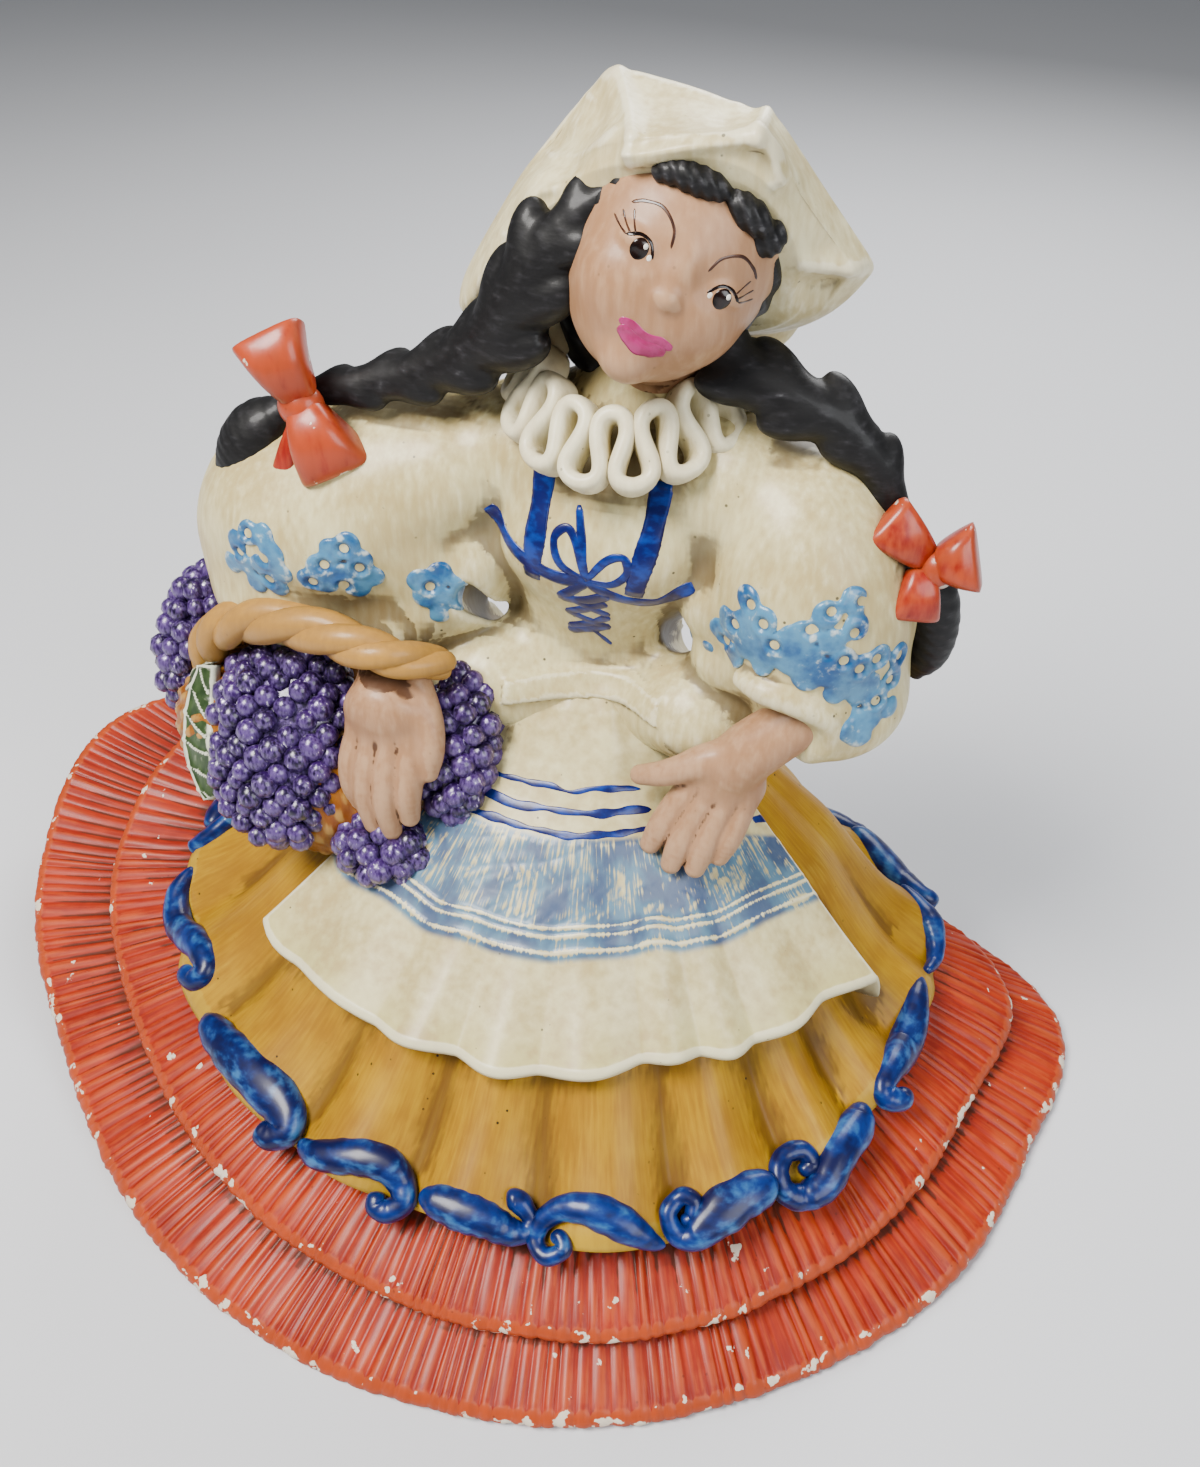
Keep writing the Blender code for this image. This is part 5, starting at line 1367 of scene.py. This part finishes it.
def right_hand(p):
    fingers = [
        [(-40.5, -36, 107), (-41.6, -38.8, 101.5), (-41.6, -40.2, 96), (-40.4, -40.6, 91.5)],
        [(-36.8, -37.4, 107), (-37.6, -40.4, 100.5), (-37.8, -42, 94), (-36.8, -42.6, 87.5)],
        [(-32.8, -37.8, 107), (-33, -41, 100.5), (-33.2, -42.6, 94), (-32.6, -42.8, 87)],
        [(-28.8, -36.8, 107.6), (-28.4, -39.8, 102), (-28.6, -41.4, 96.5), (-28.6, -41.6, 91)],
    ]
    thumb = [(-29.5, -31, 118), (-25.6, -34.6, 112.5), (-24.2, -37.2, 107), (-24.6, -38.6, 102)]
    forearm = [(-36.6, -29, 118.4), (-36, -30.5, 116.6), (-35.4, -32, 114.4), (-35, -33, 112)]
    fingers = [(finger, (3.3, 3.2, 2.9, 2.2)) for finger in fingers]
    whole = hand(p, (forearm, (5.4, 6.4, 7.0, 7.0)), fingers, (thumb, (3.6, 3.2, 2.8, 2.1)))
    return melt(whole, egg(p, (-34.6, -34.4, 111), (9.6, 5.6, 9.5), (20, 0, 0)), 2.5)


HANDS = [cast(left_hand, (12, -42, 80), (72, -2, 139), 0.5),
         cast(right_hand, (-56, -48, 80), (-16, -8, 140), 0.5)]
piece("hands", HANDS, SKIN)

# The basket on her right hip: a woven bowl heaped with grapes, a thick rope handle over her wrist, and a
# vine leaf at the side. The grapes are clustered balls painted purple with a pearly bloom.
BOWL_AT, BOWL_HALF, BOWL_TURN = (-58, -20, 86), (37.43, 24.625, 23.64), (28, 12, 0)
COURSES, RIBS = 17, 34


def oval_frame(turn):
    return np.array(Euler([math.radians(a) for a in turn]).to_matrix())


def bowl():
    """An oval body woven over upright ribs: its radius swells in a checker of courses and ribs."""
    angle = np.linspace(0, 2 * math.pi, 260, endpoint=False)
    lean = np.linspace(-0.5, 0.42, 90)[:, None] * math.pi
    course = math.pi * np.floor(lean * COURSES / math.pi)
    weave = 0.55 * np.sin(angle * RIBS + course) * np.abs(np.sin(lean * COURSES))
    size = 1 + weave / 28
    x, y = np.cos(lean) * np.cos(angle) * size, np.cos(lean) * np.sin(angle) * size
    z = np.broadcast_to(np.sin(lean), x.shape)
    points = np.stack([x, y, z], axis=-1) * np.asarray(BOWL_HALF)
    return grid(points @ oval_frame(BOWL_TURN).T + np.asarray(BOWL_AT))


def rope(path, half, turns, strands=3):
    """Strands wound round a path: each runs round the middle line at a half of the rope's radius."""
    rows = smooth_path(np.column_stack([path, np.broadcast_to(half, len(path))]), 16)
    line, size = rows[:, :3], rows[:, 3]
    ahead = unit(np.gradient(line, axis=0))
    side = unit(np.cross(ahead, (0.1, -0.9, 0.4)))
    up = unit(np.cross(side, ahead))
    made = []
    for k in range(strands):
        angle = np.linspace(0, turns * 2 * math.pi, len(line)) + k * 2 * math.pi / strands
        path_k = line + (side * np.cos(angle)[:, None] + up * np.sin(angle)[:, None]) * (size * 0.38)[:, None]
        wide = size * 0.68 * tapered(len(line), 0.5, 0.5, 0.04)
        made.append(swept(path_k, wide, wide, up, 12, tint=0.3 * k))
    return made


WICKER = brushed("wicker_paint", shade(208, 146, 46), shade(162, 98, 22), shade(234, 200, 124), pale_ridges=0.4,
                 specks=0.4, roughness=0.46, coat=0.15, bump=0.25)
piece("basket_bowl", [bowl()], WICKER)
HANDLE = [(-85, -22, 102), (-83, -24, 110.5), (-76.5, -26, 118.5), (-65.5, -28.5, 124.6), (-52, -31.5, 127.6),
          (-40, -34.5, 128.2), (-31, -34, 126.6), (-23, -27, 122)]
HANDLE_HALF, HANDLE_TURNS = (3.8, 4.3, 4.7, 5.0, 4.9, 4.5, 4.0, 3.4), 2.4
piece("basket_handle", rope(HANDLE, HANDLE_HALF, HANDLE_TURNS), WICKER)


def ball(rows, columns, reach, start=0.0):
    """Points of a unit ball: rows from near one pole to near the other, columns round the upright axis."""
    lean = np.linspace(-reach, reach, rows)[:, None] * math.pi
    angle = np.linspace(0, 2 * math.pi, columns, endpoint=False) + start
    flat, up = np.cos(lean), np.broadcast_to(np.sin(lean), (rows, columns))
    return np.stack([flat * np.cos(angle), flat * np.sin(angle), up], axis=-1)


def grape(centre, half, tint):
    """A ball of a few dozen faces, with a point at either pole."""
    shape = grid(ball(5, 9, 0.40, tint) * half + centre, tint=tint)
    shape["places"][-2:] = np.asarray(centre) + np.array([[0, 0, -half], [0, 0, half]])
    return shape


def cluster(centre, radii, turn, half, seed):
    """Grapes spread evenly over an oval core by the golden angle, each moved and sized a little by chance."""
    draw = np.random.default_rng(seed)
    rough = 1.6
    squares = [(radii[i] * radii[j]) ** rough for i, j in ((0, 1), (0, 2), (1, 2))]
    count = int(4 * math.pi * (sum(squares) / 3) ** (1 / rough) / (half * 1.62) ** 2)
    up = 1 - 2 * (np.arange(count) + 0.5) / count
    angle = np.arange(count) * math.pi * (3 - math.sqrt(5)) + seed
    flat = np.sqrt(1 - up**2)
    spots = np.stack([flat * np.cos(angle), flat * np.sin(angle), up], axis=-1) * radii
    spots = spots * draw.uniform(0.9, 1.0, (count, 1)) + draw.normal(0, 0.3, spots.shape)
    spots = spots @ oval_frame(turn).T + centre
    front = spots[:, 1] < -4  # those behind are hidden in the bowl and the body
    made = [grape(spot, half * size, tint) for spot, size, tint in
            zip(spots[front], draw.uniform(0.88, 1.15, front.sum()), draw.uniform(0, 1, front.sum()))]
    core = ball(10, 20, 0.45) * (np.asarray(radii) - 1.0)
    return made + [grid(core @ oval_frame(turn).T + centre, tint=0.2)]


def grape_paint():
    """Deep purple with a pearly lilac bloom brushed over the tops that is partly a painted sheen, painted
    white highlights, and painted shade in black between the grapes.
    """
    p = Paint("grape_paint", 0.28, 0.6)
    hollow, seam_shade, tint = p.marks("hollow", "seam_shade", "tint")
    scratch, mottle = p.noise(1500, 3, stretch=(1, 1, 0.35)), p.noise(300, 3)
    tone = p.mix((mottle + tint * 0.25).between(0.45, 0.85), shade(40, 14, 66), shade(82, 44, 118))
    # Lilac on the tops: pearly bloom paint and a painted sheen.
    bloom_and_sheen = (scratch * 1.3 + tint * 0.15 + (0 - hollow) * 0.15 - 0.72).between(0.1, 0.5)
    tone = p.mix(bloom_and_sheen * 0.6, tone, shade(150, 126, 186))
    # White spots: painted highlights.
    tone = p.mix((scratch + mottle * 0.4).between(0.86, 0.96) * 0.9, tone, shade(232, 226, 240))
    # Near black between the grapes: painted shade.
    tone = p.mix((hollow + seam_shade * 1.2 + mottle * 0.3 - 0.3).between(0, 0.6) * 0.9, tone, shade(20, 10, 34))
    p.set(base_color=tone, metallic=0.25 * bloom_and_sheen, roughness=0.26 + mottle * 0.2)
    p.bump(0.1, scratch)
    return p.material


GRAPE = 2.75
BUNCHES = (((-61, -33, 97), (16.5, 11, 23), (-32, 0, 0)), ((-22, -28, 102), (7.5, 7, 17), (-28, 0, 0)),
           ((-36, -42, 80), (10, 5.5, 7), (-30, 0, 0)), ((-91, -15, 104), (9, 8, 19), (-12, 14, 0)))
GRAPES = [one for seed, bunch in enumerate(BUNCHES, 1) for one in cluster(*bunch, GRAPE, seed)]
piece("grapes", GRAPES, grape_paint())


def leaf():
    """A long vine leaf that lies down the side of the bowl: a curved sheet with a toothed edge, raised
    ribs, and a thickness; its middle line and half widths are given from tip to stem."""
    path = smooth_path([(-79.5, -28, 109.6), (-82.4, -29, 103.6), (-83.8, -31.5, 97), (-83, -35, 91),
                        (-80, -38.5, 86), (-76.5, -41, 82)], 14)
    share = np.linspace(0, 1, len(path))
    wide = np.interp(share, [0, 0.2, 0.45, 0.7, 0.9, 1], [0.6, 6.6, 9.6, 8.8, 4.8, 0.8])
    ahead = unit(np.gradient(path, axis=0))
    out = unit(np.array([-0.62, -0.7, 0.25]))
    side = unit(np.cross(ahead, out))
    across = np.linspace(-1, 1, 25)
    length = share[:, None]
    tooth = 1 + 0.10 * np.abs(np.sin(length * 19)) * np.abs(across) ** 2
    veins = np.sin((length * 5.5 - np.abs(across) * 0.9) * math.pi) / 0.28
    rib = 0.7 * np.exp(-((across / 0.08) ** 2)) + 0.4 * np.exp(-(veins**2)) * (np.abs(across) < 0.9)
    curve = 1.4 - 2.2 * np.abs(across) ** 1.6 + rib
    flat = side[:, None] * (wide[:, None] * across * tooth)[..., None]
    face = path[:, None] + flat + out * (curve[..., None] + 1.4)
    back = (face - out * 2.2)[:, -2:0:-1]
    return grid(np.concatenate([face, back], axis=1))


LEAF = brushed("leaf_paint", shade(96, 116, 76), shade(52, 76, 44), shade(214, 216, 198), wash=0.9, pale_ridges=1.0,
               specks=0.3)
piece("vine_leaf", [leaf()], LEAF)

# The bows: red-orange ribbons tied round the plaits, cast thick, with paint worn to pale clay at their edges.


def bow_loop(knot, tip, wide, thick, facing, flare=1.0, curl_up=0.0):
    """A ribbon's loop or end: a bar that starts narrow in the knot and widens to a squared-off end."""
    knot, tip = np.asarray(knot, float), np.asarray(tip, float)
    share = np.linspace(0, 1, 22)[:, None]
    facing = unit(np.asarray(facing, float))
    path = knot + (tip - knot) * share + facing * (curl_up * np.sin(share * math.pi))
    half = wide * (0.42 + 0.58 * flare * share[:, 0] ** 0.8) * tapered(22, 0.8, 0.82, 0.08)
    deep = thick * (0.8 + 0.35 * np.sin(share[:, 0] * math.pi)) * tapered(22, 0.8, 0.6, 0.1)
    return swept(path, half, deep, facing, 28, 3.4)


def knot_ball(centre, radii):
    return grid(ball(14, 24, 0.46) * radii + centre)


BOWS = [
    bow_loop((-53, -18, 172), (-58.2, -18.5, 183.5), 7.2, 4.8, (0.1, -0.8, 0.6), curl_up=2.0),
    bow_loop((-52, -19, 170), (-46.2, -20.5, 158.5), 7.6, 4.6, (0.1, -0.85, 0.5), curl_up=1.6),
    bow_loop((-54, -18, 168), (-59, -20.5, 153.5), 3.0, 2.2, (0, -0.85, 0.5), flare=0.9),
    knot_ball((-52.6, -19.8, 170.6), (4.6, 4.0, 4.4)),
    bow_loop((65, -10, 154), (56.6, -13, 162.6), 5.4, 3.0, (0.35, -0.85, 0.35), curl_up=1.0),
    bow_loop((67, -11, 154.2), (74, -10.5, 156.4), 6.4, 4.6, (0.3, -0.85, 0.35)),
    bow_loop((64.5, -12, 153), (64.5, -15, 144.5), 5.2, 2.8, (0.35, -0.85, 0.3), curl_up=1.0),
    knot_ball((67.4, -11.6, 153.4), (3.6, 3.6, 4.0)),
]
BOW_PAINT = brushed("bow_paint", shade(206, 62, 26), shade(170, 38, 14), shade(234, 140, 90), wash=0.55,
                    pale_ridges=0.35, chips=0.8, specks=0.2, roughness=0.38, coat=0.3)
piece("bows", BOWS, BOW_PAINT)

# The brown wash and painted shade: thinned paint that was wiped over the whole figurine and stayed in its
# hollows and seams, with shade painted where a surface bends in or other surfaces crowd in front of it. Every
# point gets
# two marks that the finishes above read: hollow, from the bend of its own surface over about a millimetre,
# and seam_shade, from how much of any surface stands in front of it over a few millimetres.
WASH_CELL, WASH_MARGIN = 1.6, 16  # mm: the cells in which nearby surface is summed, and the space around it
SEAM_SHADE_FULL, HOLLOW_FULL = 2.2, 0.22  # mm of offset that give a mark of 1
BEND_SPAN = 1.1  # mm over which a surface's bend is read


def mean_of_neighbours(values, edges):
    """Each point's value averaged over the points that an edge joins it to."""
    count = np.maximum(np.bincount(edges.ravel(), minlength=len(values)), 1)
    total = [np.bincount(edges[:, 0], values[edges[:, 1], i], len(values))
             + np.bincount(edges[:, 1], values[edges[:, 0], i], len(values)) for i in range(3)]
    return np.stack(total, axis=-1) / count[:, None]


def read_out(made):
    """A piece's points, normals, edges and the area that each point stands for, in mm."""
    mesh = made.data
    sizes = listed(mesh.polygons, "loop_total", kind=np.int32)
    corners = listed(mesh.loops, "vertex_index", kind=np.int32)
    share = np.repeat(listed(mesh.polygons, "area") / sizes, sizes)
    places, normals = (listed(mesh.vertices, key, 3) for key in ("co", "normal"))
    area = np.bincount(corners, share, len(mesh.vertices))
    return places / MM, normals, listed(mesh.edges, "vertices", 2, np.int32), area / MM**2


def spread(field, reach):
    """A box of cells blurred twice along each axis by a running mean over reach cells either way."""
    wide = 2 * reach + 1
    for axis in range(3):
        for _ in range(2):
            pad = [(0, 0)] * 3
            pad[axis] = (reach + 1, reach)
            total = np.cumsum(np.pad(field, pad), axis=axis)
            length = field.shape[axis]
            first, last = (np.take(total, range(start, start + length), axis=axis) for start in (0, wide))
            field = (last - first) / wide
    return field


def mark_wash_and_shade():
    """Sets both marks on every piece. Seam shade is how far in front of a point the middle of the surface
    near it lies, and the finishes darken it as painted shade; hollow is how far a point moves outwards when
    its surface is relaxed."""
    read = [read_out(made) for made in PIECES]
    low = np.array(CAD_BOX[0]) / MM - WASH_MARGIN
    shape = np.ceil((np.array(CAD_BOX[1]) / MM + WASH_MARGIN - low) / WASH_CELL).astype(int)
    cells = [np.ravel_multi_index(tuple(((places - low) / WASH_CELL).astype(int).T), shape)
             for places, *_ in read]
    everywhere = np.concatenate(cells)
    weight = np.concatenate([share for *_, share in read])
    where = np.concatenate([places for places, *_ in read])
    fields = []
    for values in (weight, *(weight * where[:, i] for i in range(3))):
        full = np.bincount(everywhere, values, int(np.prod(shape))).reshape(shape)
        fields.append(spread(full, 2).ravel())
    for made, (places, normals, edges, _), cell in zip(PIECES, read, cells):
        crowd = np.maximum(fields[0][cell], 1e-6)
        ahead = np.stack([fields[i + 1][cell] / crowd for i in range(3)], axis=-1) - places
        # Crowding of nearby surface in front of a point: darkened by the finishes as painted shade.
        seam_shade = np.einsum("ij,ij->i", ahead, normals) / SEAM_SHADE_FULL
        span = np.median(np.linalg.norm(places[edges[:, 0]] - places[edges[:, 1]], axis=1))
        relaxed = places
        for _ in range(int(np.clip((BEND_SPAN / max(span, 0.05)) ** 2, 2, 30))):
            relaxed = 0.4 * relaxed + 0.6 * mean_of_neighbours(relaxed, edges)
        # Bend of the surface: hollows get brown wash and painted shade, bulges get pale paint and a painted
        # highlight.
        hollow = np.einsum("ij,ij->i", relaxed - places, normals) / HOLLOW_FULL
        for key, values in (("hollow", hollow), ("seam_shade", seam_shade)):
            mark = made.data.attributes.new(key, "FLOAT", "POINT")
            mark.data.foreach_set("value", np.clip(values, -2, 2).astype(np.float32))


mark_wash_and_shade()

# The stage: a pale floor, soft lights from above, and the camera at the place of the photograph's.


def floor_paint():
    p = Paint("pale_floor", 0.6, 0.0)
    p.set(base_color=p.mix(p.noise(3), shade(208, 209, 212), shade(214, 215, 218)))
    return p.material


floor_mesh = bpy.data.meshes.new("floor")
floor_mesh.from_pydata([(-4, -4, 0), (4, -4, 0), (4, 4, 0), (-4, 4, 0)], [], [(0, 1, 2, 3)])
floor_mesh.materials.append(floor_paint())
floor = bpy.data.objects.new("floor", floor_mesh)
bpy.context.scene.collection.objects.link(floor)


def soft_light(name, place, size, power, colour, aim=(-0.01, -0.01, 0.1)):
    """A square lamp that faces the figurine."""
    lamp = bpy.data.lights.new(name, "AREA")
    lamp.size, lamp.energy, lamp.color = size, power, colour
    made = bpy.data.objects.new(name, lamp)
    made.location = place
    made.rotation_euler = (Vector(aim) - Vector(place)).to_track_quat("-Z", "Y").to_euler()
    bpy.context.scene.collection.objects.link(made)


soft_light("key_light", (-0.30, -0.40, 0.78), 0.34, 19.0, (1.0, 0.97, 0.93))
soft_light("fill_light", (0.62, -0.38, 0.5), 0.5, 6.5, (0.94, 0.97, 1.0))
soft_light("back_light", (0.1, 0.62, 0.6), 0.5, 7.5, (1.0, 1.0, 1.0))
world = bpy.data.worlds.new("studio")
bpy.context.scene.world = world
world.use_nodes = True
world.node_tree.nodes["Background"].inputs["Color"].default_value = (0.74, 0.78, 0.84, 1)
world.node_tree.nodes["Background"].inputs["Strength"].default_value = 0.24

lens = bpy.data.cameras.new("camera")
lens.lens, lens.sensor_width, lens.clip_start = 32.0, 36.0, 0.01
camera = bpy.data.objects.new("camera", lens)
camera.location = (0.07107, -0.21874, 0.281)
camera.rotation_euler = Vector((-0.2367, 0.7286, -0.6428)).to_track_quat("-Z", "Y").to_euler()
bpy.context.scene.collection.objects.link(camera)
bpy.context.scene.camera = camera
